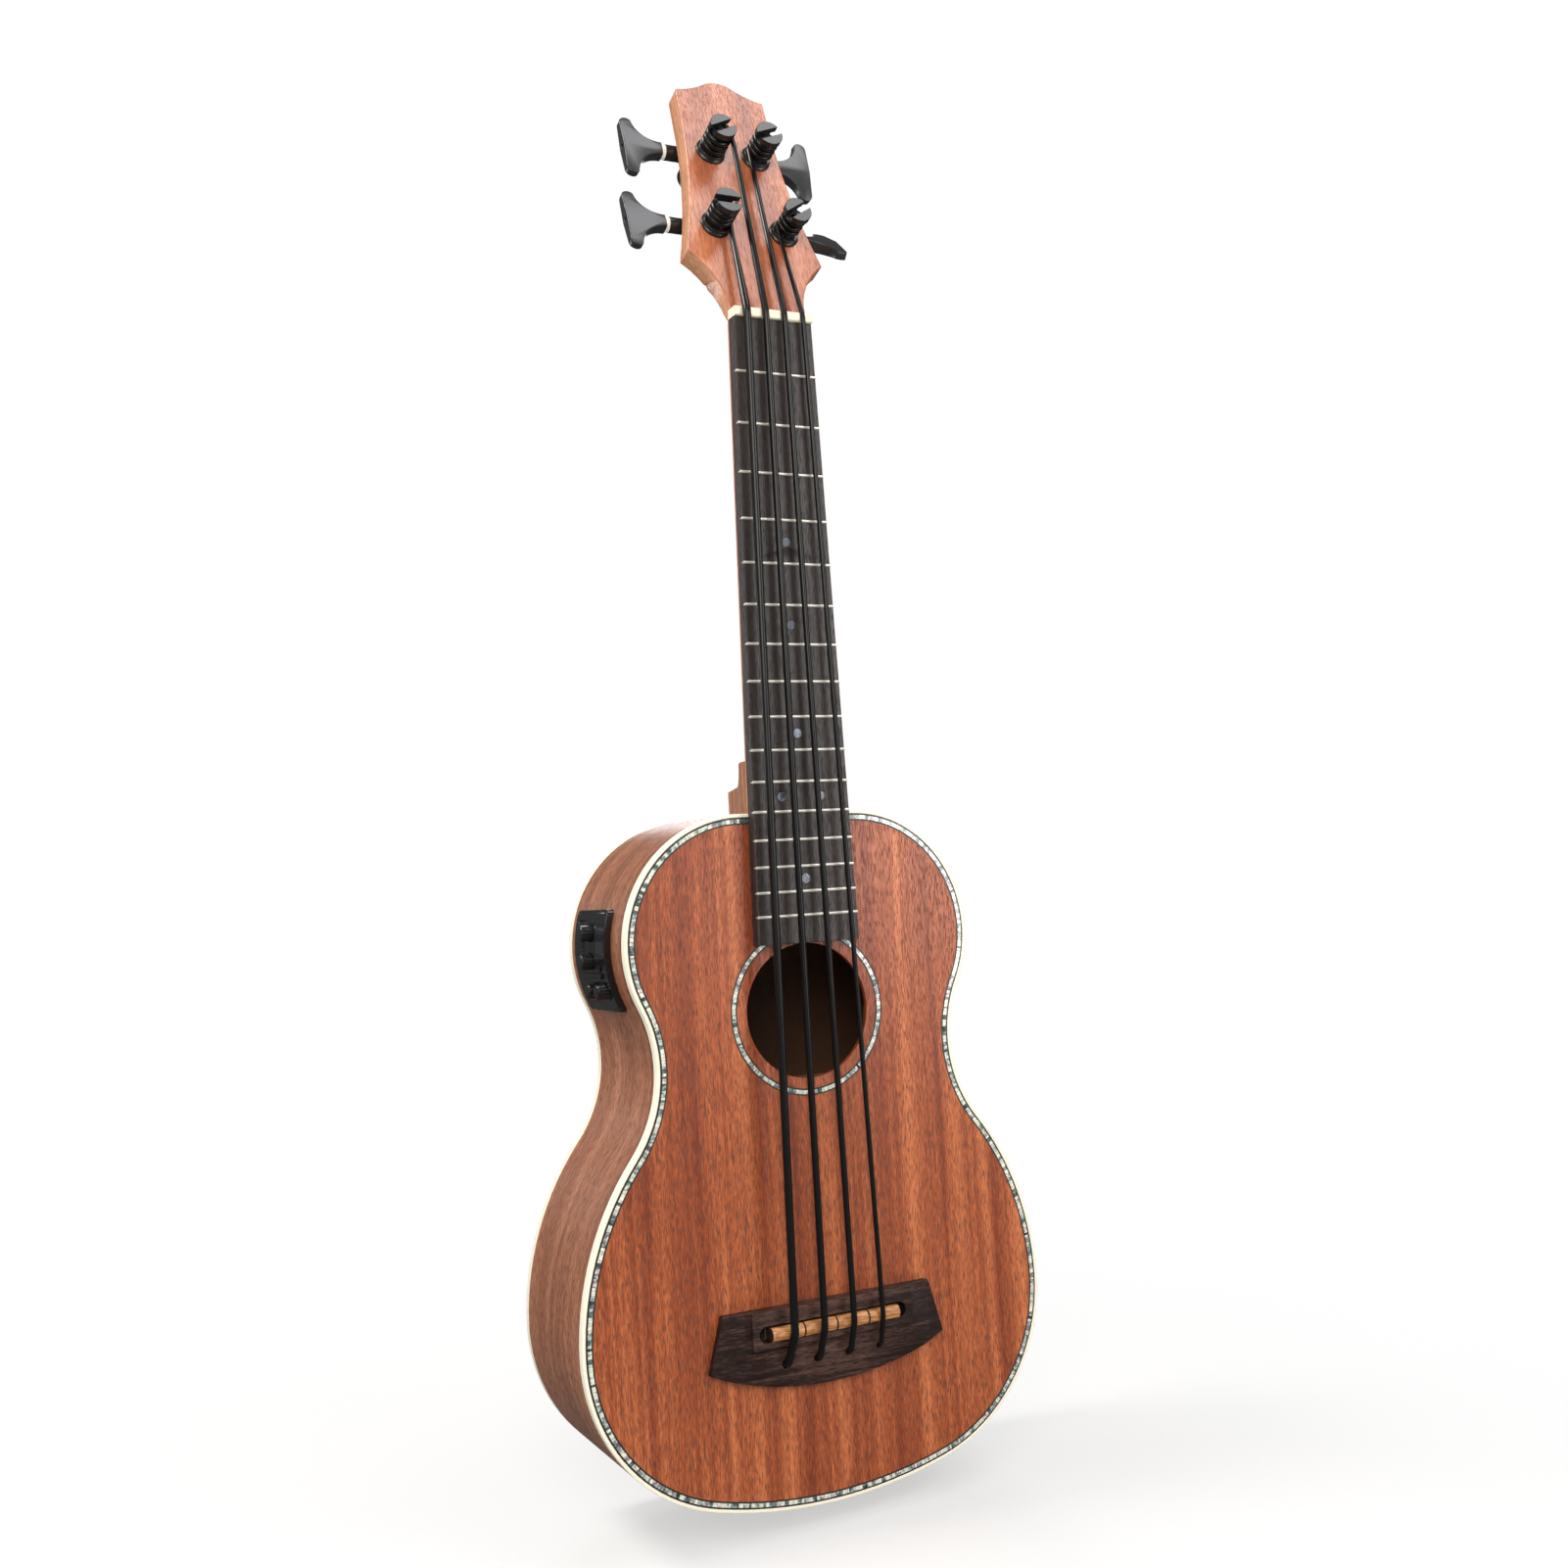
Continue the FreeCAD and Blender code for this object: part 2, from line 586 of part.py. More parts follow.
brace_inset = size.side_thickness + size.lining_width + size.glue_gap


def cross_bar_length(height):
    ends = (height - size.brace_width / 2, height + size.brace_width / 2)
    return min(half_width_at(end, brace_inset) for end in ends)


plate_low = hole_row - 2 * size.plate_margin - size.knot_size / 2
plate_high = saddle_height + size.bridge_block_width / 2 + size.plate_margin
upper_bar = (hole_height + size.hole_radius + neck_block_low) / 2
lower_bar = hole_height - size.hole_radius - size.brace_clear_of_hole
long_brace = size.plate_half_width + size.brace_clear_of_plate + size.brace_width / 2
bars = [tapered_bar(cross_bar_length(height)).translate(Vector(0, under_top, height))
        for height in (upper_bar, lower_bar)]
long_end = lower_bar - size.brace_width / 2 - size.glue_gap
spans = [(side * long_brace, size.long_brace_start, long_end) for side in (-1, 1)]
spans.append((0, plate_high + size.glue_gap, long_end))
for x, low, high in spans:
    bar = tapered_bar((high - low) / 2).rotate(Vector(), Y, 90)
    bars.append(bar.translate(Vector(x, under_top, (low + high) / 2)))
feature("braces_front", Part.makeCompound(bars))

back_bars = []
for share in (size.lower_brace_share, size.middle_brace_share, size.upper_brace_share):
    height = share * size.body_length
    bar = tapered_bar(cross_bar_length(height)).rotate(Vector(), Z, 180)
    bar = bar.translate(Vector(0, -size.back_thickness, height)).rotate(Vector(), X, back_tilt)
    back_bars.append(bar.translate(Y * -front))
feature("braces_back", Part.makeCompound(back_bars))

bridge_plate = Part.makeBox(2 * size.plate_half_width, size.plate_thickness, plate_high - plate_low,
                            Vector(-size.plate_half_width, under_top, plate_low))
feature("bridge_plate", less_strings(bridge_plate))


# Neck, heel and headstock

def neck_half_width(height):
    step = (size.twelfth_half_width - size.nut_half_width) / (size.scale_length / 2)
    return size.nut_half_width + step * (nut_height - height)


def back_section(half_width, top, edge, bottom, height):
    """A D-shaped neck section: flat front, straight edges and one arc round the back."""
    corners = [Vector(x, y, height) for x, y in
               ((-half_width, edge), (-half_width, top), (half_width, top), (half_width, edge))]
    arc = Part.Arc(corners[3], Vector(0, bottom, height), corners[0]).toShape()
    lines = [Part.LineSegment(a, b).toShape() for a, b in zip(corners, corners[1:])]
    return Part.Wire(lines + [arc])


def nut_section(top):
    """The neck's section at the nut, its flat front at the given depth."""
    return back_section(size.nut_half_width, top, front + size.neck_edge, front + size.neck_depth,
                        nut_height)


head_angle = math.radians(size.head_tilt)
blend_top = nut_height + size.head_blend
blend_face = front - size.head_step + size.head_blend * math.tan(head_angle)
blend_back = blend_face + size.head_thickness / math.cos(head_angle)


def tapered_neck():
    """Shaft from the heel to the nut, and its tail that blends into the headstock."""
    low = size.body_length
    gain = size.neck_end_depth_gain
    heel_end = back_section(neck_half_width(low), front, front + size.neck_edge,
                            front + size.neck_depth + gain, low)
    margin = size.blend_margin
    inside = back_section(size.nut_half_width - margin, blend_face + margin, blend_face + 2 * margin,
                          blend_back - margin, blend_top)
    shaft = Part.makeLoft([heel_end, nut_section(front)], True)
    return shaft.fuse(Part.makeLoft([nut_section(front), inside], True))


def throat_waste():
    """What is carved off the headstock's back corners, so that they run on from the round neck."""
    margin = size.blend_margin
    ahead = front - size.overrun
    kept = Part.makeLoft([nut_section(ahead), back_section(size.throat_half_width, ahead,
                          blend_back + margin, blend_back + 2 * margin, blend_top)], True)
    low = nut_height - size.head_thickness
    return Part.makeBox(2 * far, 2 * behind, blend_top - low, Vector(-far, -behind, low)).cut(kept)


def heel():
    """The heel: its side profile extruded across, met by its plan extruded along the neck."""
    low, top = size.body_length, size.body_length + size.heel_height
    neck_back = front + size.neck_depth + size.neck_end_depth_gain
    bottom = front + size.heel_depth
    radius = size.heel_radius
    middle = Vector(-far, neck_back + radius * (1 - math.cos(math.pi / 4)),
                    top + radius * (1 - math.sin(math.pi / 4)))
    end = Vector(-far, neck_back + radius, top)
    outline = [Vector(-far, y, z) for y, z in ((bottom, top), (bottom, low), (front, low),
                                               (front, top + radius))]
    start = Vector(-far, neck_back, top + radius)
    arc = Part.Arc(start, middle, end).toShape()
    points = [end] + outline + [start]
    lines = [Part.LineSegment(a, b).toShape() for a, b in zip(points, points[1:])]
    profile = Part.Face(Part.Wire([arc] + lines)).extrude(X * 2 * far)
    wide, tip = size.heel_half_width, size.heel_tip_half_width
    left = [Vector(-wide, front, low), Vector(-wide, front + size.neck_depth / 2, low),
            Vector(-tip, bottom - tip, low)]
    right = [Vector(-p.x, p.y, p.z) for p in reversed(left)]
    edges = [Part.LineSegment(a, b).toShape() for a, b in zip(left, left[1:])]
    edges.append(Part.Arc(left[-1], Vector(0, bottom, low), right[0]).toShape())
    edges += [Part.LineSegment(a, b).toShape() for a, b in zip(right, right[1:] + left[:1])]
    plan = Part.Face(Part.Wire(edges)).extrude(Z * 2 * size.heel_height)
    return profile.common(plan)


# Headstock outline as shares of its tip width and length, from the nut up
HEAD_NECK_SHARES = (1.0, 0.30)
HEAD_HOLLOW_SHARES = (0.695, 0.66)
HEAD_FLANK_SHARES = (0.80, 0.51)
HEAD_UPPER_SHARES = (1.025, 0.817)
HEAD_BROW_SHARES = (0.67, 0.014)
HEAD_SLOPE_SHARES = (0.36, 0.66)
HEAD_CREST_SHARES = (0.17, 0.93)


def headstock():
    """The headstock plate in its own coordinates, then tilted back behind the nut."""
    tip, low = size.head_tip_half_width, size.head_tip_height
    top, length = size.head_top_half_width, size.head_length
    crest = size.head_crest

    def point(x, up):
        return Vector(x, 0, up)

    start = point(size.nut_half_width, 0)
    throat = point(size.nut_half_width * HEAD_NECK_SHARES[0], low * HEAD_NECK_SHARES[1])
    hollow = point(tip * HEAD_HOLLOW_SHARES[0], low * HEAD_HOLLOW_SHARES[1])
    corner = point(tip, low)
    flank = point(tip * HEAD_FLANK_SHARES[0], length * HEAD_FLANK_SHARES[1])
    upper = point(top * HEAD_UPPER_SHARES[0], length * HEAD_UPPER_SHARES[1])
    brow = point(top, length)
    dip = point(top * HEAD_BROW_SHARES[0], length * (1 + HEAD_BROW_SHARES[1]))
    slope = point(top * HEAD_SLOPE_SHARES[0], length + crest * HEAD_SLOPE_SHARES[1])
    round_off = point(top * HEAD_CREST_SHARES[0], length + crest * HEAD_CREST_SHARES[1])
    peak = point(0, length + crest)

    def mirrored(p):
        return Vector(-p.x, p.y, p.z)

    edges = []
    for side in (lambda p: p, mirrored):
        s = [side(p) for p in (start, throat, hollow, corner, flank, upper, brow, dip, slope,
                               round_off, peak)]
        edges += [Part.LineSegment(s[0], s[1]).toShape(), Part.Arc(s[1], s[2], s[3]).toShape(),
                  Part.Arc(s[3], s[4], s[5]).toShape(), Part.LineSegment(s[5], s[6]).toShape(),
                  Part.Arc(s[6], s[7], s[8]).toShape(), Part.Arc(s[8], s[9], s[10]).toShape()]
    edges.append(Part.LineSegment(start, mirrored(start)).toShape())
    plate = Part.Face(Part.Wire(Part.__sortEdges__(edges))).extrude(Y * size.head_thickness)
    plate.Placement = head
    return plate


# Tuning machine: sizes that follow from its gear, worm and housing, as expressions on the sheet
GEAR_RADIUS = "(gear_module * gear_teeth / 2)"
TOOTH_RISE = "(tooth_share * gear_module)"
CENTRE_DISTANCE = f"({GEAR_RADIUS} + worm_pitch_radius)"
WORM_OUTER = f"(worm_pitch_radius + {TOOTH_RISE})"
HOUSING_RADIUS = f"({WORM_OUTER} + housing_gap + housing_wall)"
KEY_DEPTH = f"(head_thickness + {HOUSING_RADIUS})"
GEAR_OUTER = f"({GEAR_RADIUS} + {TOOTH_RISE})"
GEAR_WALL = f"({GEAR_OUTER} + housing_gap + housing_wall)"

centre_distance = sheet_value(CENTRE_DISTANCE)
housing_radius = sheet_value(HOUSING_RADIUS)
key_depth = sheet_value(KEY_DEPTH)
gear_wall = sheet_value(GEAR_WALL)
ear_low = -gear_wall - size.ear_reach
ear_high = centre_distance + housing_radius + size.ear_reach


def head_rod(x, up, radius, start, stop):
    """A round rod square to the headstock's face, between two depths behind it."""
    bar = Part.makeCylinder(radius, stop - start, Vector(), Y)
    bar.Placement = seat(x, start, up)
    return bar


neck = tapered_neck().fuse([heel(), headstock().cut(throat_waste())])
nut_seat = Part.makeBox(2 * far, behind, size.nut_thickness,
                        Vector(-far, front - behind, nut_height))
board_space = Part.makeBox(2 * far, behind, nut_height, Vector(-far, front - behind, 0))
bores = []
for side, across, up, climb in POSTS:
    bores.append(head_rod(side * across, up, size.bushing_radius + size.fit_clearance,
                          -size.overrun, size.head_thickness + size.overrun))
    for ear in (ear_low, ear_high):
        bores.append(head_rod(side * across, up + ear, size.screw_radius + size.fit_clearance,
                              size.head_thickness - size.screw_length, size.head_thickness + size.overrun))
neck = neck.cut([nut_seat, board_space] + bores)
feature("neck", neck.removeSplitter())


# Fingerboard, frets, dots and nut

NUT_HEIGHT = "(body_length * saddle_height_share + scale_length)"
BOARD_LOW = "(body_length * hole_height_share + hole_radius + board_clear_of_hole)"
BOARD_TAPER = "((twelfth_half_width - nut_half_width) / (scale_length / 2))"
BOARD_END = f"(nut_half_width + ({NUT_HEIGHT} - {BOARD_LOW}) * {BOARD_TAPER})"
board = padded("board", "XZ_Plane", [
    ("-nut_half_width", NUT_HEIGHT), ("nut_half_width", NUT_HEIGHT),
    (BOARD_END, BOARD_LOW), (f"-{BOARD_END}", BOARD_LOW)],
    "board_thickness")
board.Placement = Placement(Vector(0, front, 0), Rotation())

SEMITONE = 2 ** (1 / 12)
DOT_FRETS = ((5, (0,)), (7, (0,)), (10, (0,)), (12, (-1, 1)), (15, (0,)))


def fret_height(number):
    return nut_height - size.scale_length * (1 - SEMITONE ** -number)


def fret_tang(number, spare):
    """The blade under a fret's crown; with spare room it is the slot."""
    height, thick = fret_height(number), size.fret_tang + 2 * spare
    half = neck_half_width(height) + (size.overrun if spare else 0)
    return Part.makeBox(2 * half, size.fret_tang_depth + spare, thick,
                        Vector(-half, board_top, height - thick / 2))


def fret(number):
    height, half = fret_height(number), neck_half_width(fret_height(number))
    low, high = (Vector(-half, board_top, height + share * size.fret_width) for share in (-0.5, 0.5))
    crown = Part.Arc(low, Vector(-half, board_top - size.fret_rise, height), high).toShape()
    face = Part.Face(Part.Wire([crown, Part.LineSegment(high, low).toShape()]))
    return face.extrude(X * 2 * half).fuse(fret_tang(number, 0)).removeSplitter()


def dot(number, step, spare):
    """A round inlay midway between a fret and the one before it."""
    height = (fret_height(number) + fret_height(number - 1)) / 2
    return Part.makeCylinder(size.dot_radius + spare, size.dot_depth + spare,
                             Vector(step * size.nut_spacing, board_top, height), Y)


numbers = [number for number in range(1, int(size.fret_count) + 1)
           if fret_height(number) - size.fret_width > sheet_value(BOARD_LOW)]
dots = [(number, step) for number, steps in DOT_FRETS if number in numbers for step in steps]
slots = doc.addObject("Part::Feature", "board_slots")
slots.Shape = Part.makeCompound([fret_tang(number, size.fit_clearance) for number in numbers]
                                + [dot(number, step, size.fit_clearance) for number, step in dots])
keep("fingerboard", cut("fingerboard", board, slots))
feature("frets", Part.makeCompound([fret(number) for number in numbers]))
feature("position_dots", Part.makeCompound([dot(number, step, 0) for number, step in dots]))

nut_top = board_top - size.nut_rise
nut_blank = Part.makeBox(2 * size.nut_half_width, front - nut_top, size.nut_thickness,
                         Vector(-size.nut_half_width, nut_top, nut_height))
top_edges = [edge for edge in nut_blank.Edges
             if all(abs(v.Point.y - nut_top) < size.fit_clearance for v in edge.Vertexes)
             and edge.Length > size.nut_half_width]
feature("nut", less_strings(nut_blank.makeFillet(size.nut_thickness * size.nut_round_share, top_edges)))


# Bridge, saddles and pickup strip

def extruded(points, along):
    """A closed polygon extruded along a vector."""
    return Part.Face(Part.makePolygon(points + points[:1])).extrude(along)


bridge_face = front - size.bridge_thickness
bridge_top = saddle_height + size.bridge_above_saddle
bridge_low = bridge_top - size.bridge_length
tip_height = bridge_top - size.bridge_tip_drop
saddle_row = len(POSTS) * (size.saddle_length + size.saddle_joint) - size.saddle_joint
slot_half_length = saddle_row / 2 + size.slot_end_gap
block_half_length = slot_half_length + size.block_margin


def bridge_outline():
    """Straight top, flared ends and one bow-shaped lower edge."""
    left = [Vector(-size.bridge_half_width, front, tip_height),
            Vector(-size.bridge_top_half_width, front, bridge_top)]
    right = [Vector(-p.x, p.y, p.z) for p in reversed(left)]
    points = left + right
    lines = [Part.LineSegment(a, b).toShape() for a, b in zip(points, points[1:])]
    bow = Part.Arc(points[-1], Vector(0, front, bridge_low), points[0]).toShape()
    return Part.Face(Part.Wire(lines + [bow])).extrude(Y * -size.bridge_thickness)


def bridge_across():
    """Section across the bridge: a full-height block between two sloping wings."""
    half, tip = block_half_length, size.bridge_half_width
    right = [(half, size.bridge_thickness), (half, size.wing_thickness),
             (tip, size.wing_tip_thickness), (tip, 0)]
    outline = [(-x, t) for x, t in reversed(right)] + right
    return extruded([Vector(x, front - t, 0) for x, t in outline], Z * 2 * bridge_top)


def bridge_along():
    """Section along the bridge: the block, its step and the slope to the lower edge."""
    step = bridge_top - size.bridge_block_width
    outline = [(bridge_top, 0), (bridge_top, size.bridge_thickness),
               (step, size.bridge_thickness), (step, size.heel_slope_thickness),
               (bridge_low, size.heel_edge_thickness), (bridge_low, 0)]
    points = [Vector(-far, front - t, height) for height, t in outline]
    return extruded(points, X * 2 * far)


def round_slot(half_length, width, y_start, y_stop):
    """A slot with round ends along X at the saddle line."""
    straight = half_length - width / 2
    slot = Part.makeBox(2 * straight, y_stop - y_start, width,
                        Vector(-straight, y_start, saddle_height - width / 2))
    ends = [Part.makeCylinder(width / 2, y_stop - y_start, Vector(x, y_start, saddle_height), Y)
            for x in (-straight, straight)]
    return slot.fuse(ends)


slot_floor = bridge_face + size.slot_depth
slot = round_slot(slot_half_length, size.saddle_width + 2 * size.slot_side_gap, bridge_face, slot_floor)
bridge = bridge_outline().common(bridge_across()).common(bridge_along()).cut(slot)
feature("bridge", less_strings(bridge.removeSplitter()))

piezo_top = slot_floor - size.piezo_thickness
piezo = Part.makeBox(saddle_row, size.piezo_thickness, size.saddle_width,
                     Vector(-saddle_row / 2, piezo_top, saddle_height - size.saddle_width / 2))
feature("piezo_strip", piezo)


def saddle(number):
    """One block of the divided saddle, with a rounded crown."""
    start = -saddle_row / 2 + number * (size.saddle_length + size.saddle_joint)
    half, crown = size.saddle_width / 2, front - size.saddle_crown
    eave = crown + size.saddle_round
    base = [Vector(start, y, saddle_height + z) for y, z in
            ((eave, -half), (piezo_top, -half), (piezo_top, half), (eave, half))]
    lines = [Part.LineSegment(a, b).toShape() for a, b in zip(base, base[1:])]
    arc = Part.Arc(base[-1], Vector(start, crown, saddle_height), base[0]).toShape()
    return less_strings(Part.Face(Part.Wire(lines + [arc])).extrude(X * size.saddle_length))


feature("saddles", Part.makeCompound([saddle(number) for number in range(len(POSTS))]))
for number in range(len(POSTS)):
    feature(f"string_{number + 1}", string_solid(number))
windings = []
for number in range(len(POSTS)):
    coil = winding(number)
    coil.Placement = head
    windings.append(coil)
feature("string_windings", Part.makeCompound(windings))


# Tuning machines

# Rest angles: each key about its shaft, each post's slot about its axis
KEY_TURNS = (3, -1, 8, -35)
SLOT_TURNS = (0, 28, 24, 34)
GEAR_FLOOR = f"-({KEY_DEPTH} + gear_width / 2)"
GEAR_CEILING = f"-({KEY_DEPTH} - gear_width / 2)"
COLLAR = "(bushing_flange + fit_clearance)"


def pocket(body, sketch, depth, midplane=False):
    """A pocket cut by a sketch that already lies in the body."""
    before = body.Shape.Volume
    hole = body.newObject("PartDesign::Pocket", sketch.Name + "_pocket")
    hole.Profile = sketch
    hole.Midplane = midplane
    hole.setExpression("Length", bound(depth))
    doc.recompute()
    assert body.Shape.Volume < before, f"{hole.Name} cuts nothing"
    return hole


def around(body, cutter, count):
    """A polar pattern of one cutter about the body's own Z."""
    pattern = body.newObject("PartDesign::PolarPattern", cutter.Name + "_pattern")
    pattern.Originals = [cutter]
    pattern.Axis = (origin_plane(body, "Z_Axis"), [""])
    pattern.Angle = 360
    pattern.Occurrences = count
    body.Tip = pattern
    doc.recompute()


def post(number):
    """String post with its gear: gear below the face, collar, drum and slotted head above it."""
    side, across, up, climb = POSTS[number]
    name = f"post_{number + 1}"
    body = turned(name, [
        ("0", GEAR_FLOOR), (GEAR_OUTER, GEAR_FLOOR), (GEAR_OUTER, GEAR_CEILING),
        ("post_shaft_radius", GEAR_CEILING), ("post_shaft_radius", COLLAR), ("post_collar_radius", COLLAR),
        ("post_collar_radius", f"{COLLAR} + post_collar_height"),
        ("post_drum_radius", f"{COLLAR} + post_collar_height"),
        ("post_drum_radius", "post_height - post_head_height"),
        ("post_head_radius", "post_height - post_head_height"), ("post_head_radius", "post_height"),
        ("post_bore_radius", "post_height"), ("post_bore_radius", "post_height - post_bore_depth"),
        ("0", "post_height - post_bore_depth")])
    gap = sketch_of(body, name + "_gap", "XY_Plane", [
        (f"{GEAR_RADIUS} - tooth_share * gear_module - housing_gap", "-gear_gap_root / 2"),
        (f"{GEAR_OUTER} + housing_gap", "-gear_gap_outer / 2"),
        (f"{GEAR_OUTER} + housing_gap", "gear_gap_outer / 2"),
        (f"{GEAR_RADIUS} - tooth_share * gear_module - housing_gap", "gear_gap_root / 2")])
    gap.setExpression("AttachmentOffset.Base.z", bound(f"-{KEY_DEPTH}"))
    around(body, pocket(body, gap, "gear_width + overrun", True), int(size.gear_teeth))
    slot_sketch = sketch_of(body, name + "_slot", "XY_Plane", [
        ("-post_head_radius - overrun", "-post_slot_width / 2"),
        ("post_head_radius + overrun", "-post_slot_width / 2"),
        ("post_head_radius + overrun", "post_slot_width / 2"),
        ("-post_head_radius - overrun", "post_slot_width / 2")])
    slot_sketch.AttachmentOffset = Placement(Vector(), Rotation(Z, SLOT_TURNS[number]))
    slot_sketch.setExpression("AttachmentOffset.Base.z", bound("post_height"))
    pocket(body, slot_sketch, "post_slot_depth")
    body.Placement = seat(side * across, 0, up, Rotation(X, 90))
    return keep(name, body)


def bushing(number):
    """Round flange on the face and a sleeve through the headstock."""
    side, across, up, climb = POSTS[number]
    bore = "post_shaft_radius + fit_clearance"
    body = turned(f"bushing_{number + 1}", [
        (bore, "-bushing_length"), ("bushing_radius", "-bushing_length"), ("bushing_radius", "0"),
        ("bushing_flange_radius", "0"), ("bushing_flange_radius", "bushing_flange / 2"),
        ("bushing_flange_radius - bushing_flange / 2", "bushing_flange"), (bore, "bushing_flange")])
    body.Placement = seat(side * across, 0, up, Rotation(X, 90))
    return body


def key_axis(number, turn=0):
    """Placement of a key's shaft: its own Z points out of the headstock's edge."""
    side, across, up, climb = POSTS[number]
    return seat(side * across, key_depth, up + centre_distance,
                Rotation(Y, side * 90).multiply(Rotation(Z, turn)))


def key_washer(number):
    body = turned(f"key_washer_{number + 1}", [
        ("key_shaft_radius + fit_clearance", "sleeve_reach"), ("washer_radius", "sleeve_reach"),
        ("washer_radius", "sleeve_reach + washer_thickness"),
        ("key_shaft_radius + fit_clearance", "sleeve_reach + washer_thickness")])
    body.Placement = key_axis(number)
    return body


def housing(number):
    """Closed case behind the headstock: gear drum, worm barrel, sleeve and two screw ears."""
    side, across, up, climb = POSTS[number]
    thick, wall, depth = size.head_thickness, size.housing_wall, 2 * housing_radius
    barrel_half = size.worm_length / 2 + size.housing_gap + wall
    room = Part.makeCylinder(gear_wall - wall, depth - 2 * wall, Vector(0, thick + wall, 0), Y)
    worm_room = Part.makeCylinder(housing_radius - wall, 2 * (barrel_half - wall),
                                  Vector(wall - barrel_half, key_depth, centre_distance), X)
    case = Part.makeCylinder(gear_wall, depth, Vector(0, thick, 0), Y)
    web = Part.makeBox(2 * barrel_half, depth, centre_distance, Vector(-barrel_half, thick, 0))
    barrel = Part.makeCylinder(housing_radius, 2 * barrel_half,
                               Vector(-barrel_half, key_depth, centre_distance), X)
    sleeve = Part.makeCylinder(size.sleeve_radius, size.sleeve_reach,
                               Vector(0, key_depth, centre_distance), X)
    parts = [web, barrel, sleeve]
    holes = [room, worm_room,
             Part.makeCylinder(size.key_shaft_radius + size.fit_clearance, 2 * size.sleeve_reach,
                               Vector(0, key_depth, centre_distance), X),
             Part.makeCylinder(size.post_shaft_radius + size.fit_clearance, thick,
                               Vector(0, thick - size.overrun, 0), Y)]
    for ear in (ear_low, ear_high):
        low, high = sorted((0, ear))
        parts.append(Part.makeBox(2 * size.ear_radius, size.ear_thickness, high - low,
                                  Vector(-size.ear_radius, thick, low)).cut(room))
        parts.append(Part.makeCylinder(size.ear_radius, size.ear_thickness, Vector(0, thick, ear), Y))
        holes.append(Part.makeCylinder(size.screw_radius + size.fit_clearance, depth,
                                       Vector(0, thick - size.overrun, ear), Y))
    shape = case.fuse(parts).cut(holes).removeSplitter()
    if side < 0:
        shape = shape.mirror(Vector(), X)
    shape.Placement = seat(side * across, 0, up).multiply(shape.Placement)
    return shape


def ear_screws(number):
    """Two pan-head screws that hold one housing."""
    side, across, up, climb = POSTS[number]
    members = []
    for count, ear in enumerate((ear_low, ear_high)):
        top = "head_thickness + ear_thickness"
        body = turned(f"ear_screw_{number + 1}_{count + 1}", [
            ("0", f"{top} - screw_length"), ("screw_radius", f"{top} - screw_length"),
            ("screw_radius", top), ("screw_head_radius", top),
            ("screw_head_radius", f"{top} + screw_head_height / 2"),
            ("screw_head_radius / 2", f"{top} + screw_head_height"), ("0", f"{top} + screw_head_height")])
        body.Placement = seat(side * across, 0, up + ear, Rotation(X, -90))
        members.append(body)
    return members


def key_shaft(number):
    """Worm and its shaft: one helical thread on a core, in mesh with the gear at rest."""
    side = POSTS[number][0]
    lead = math.pi * size.gear_module
    rise = size.tooth_share * size.gear_module
    core = size.worm_pitch_radius - rise - size.housing_gap / 2
    half = size.worm_length / 2
    turns = math.floor(size.worm_length / lead) - 1
    outer = size.worm_pitch_radius + rise
    phase = 180 * (turns % 2) + (180 if side < 0 else 0)
    helix = Part.makeHelix(lead, lead * turns, core)
    profile = Part.makePolygon([Vector(core - rise / 4, 0, -size.thread_root / 2),
                                Vector(outer, 0, -size.thread_crest / 2),
                                Vector(outer, 0, size.thread_crest / 2),
                                Vector(core - rise / 4, 0, size.thread_root / 2),
                                Vector(core - rise / 4, 0, -size.thread_root / 2)])
    thread = Part.Wire(helix.Edges).makePipeShell([Part.Wire(profile.Edges)], True, True)
    thread.translate(Z * -lead * turns / 2)
    thread.rotate(Vector(), Z, phase)
    bar = Part.makeCylinder(core, 2 * half, Vector(0, 0, -half), Z)
    shaft = Part.makeCylinder(size.key_shaft_radius,
                              size.sleeve_reach + size.washer_thickness + size.key_seat_depth, Vector(), Z)
    return bar.fuse([shaft, thread]).removeSplitter()


# Key outline as shares of its half width and length: neck, waist of the wing and tip
KEY_NECK_SHARE = 0.06
KEY_WAIST_SHARES = (0.36, 0.42)
KEY_TIP_ANGLES = (-50, 20)


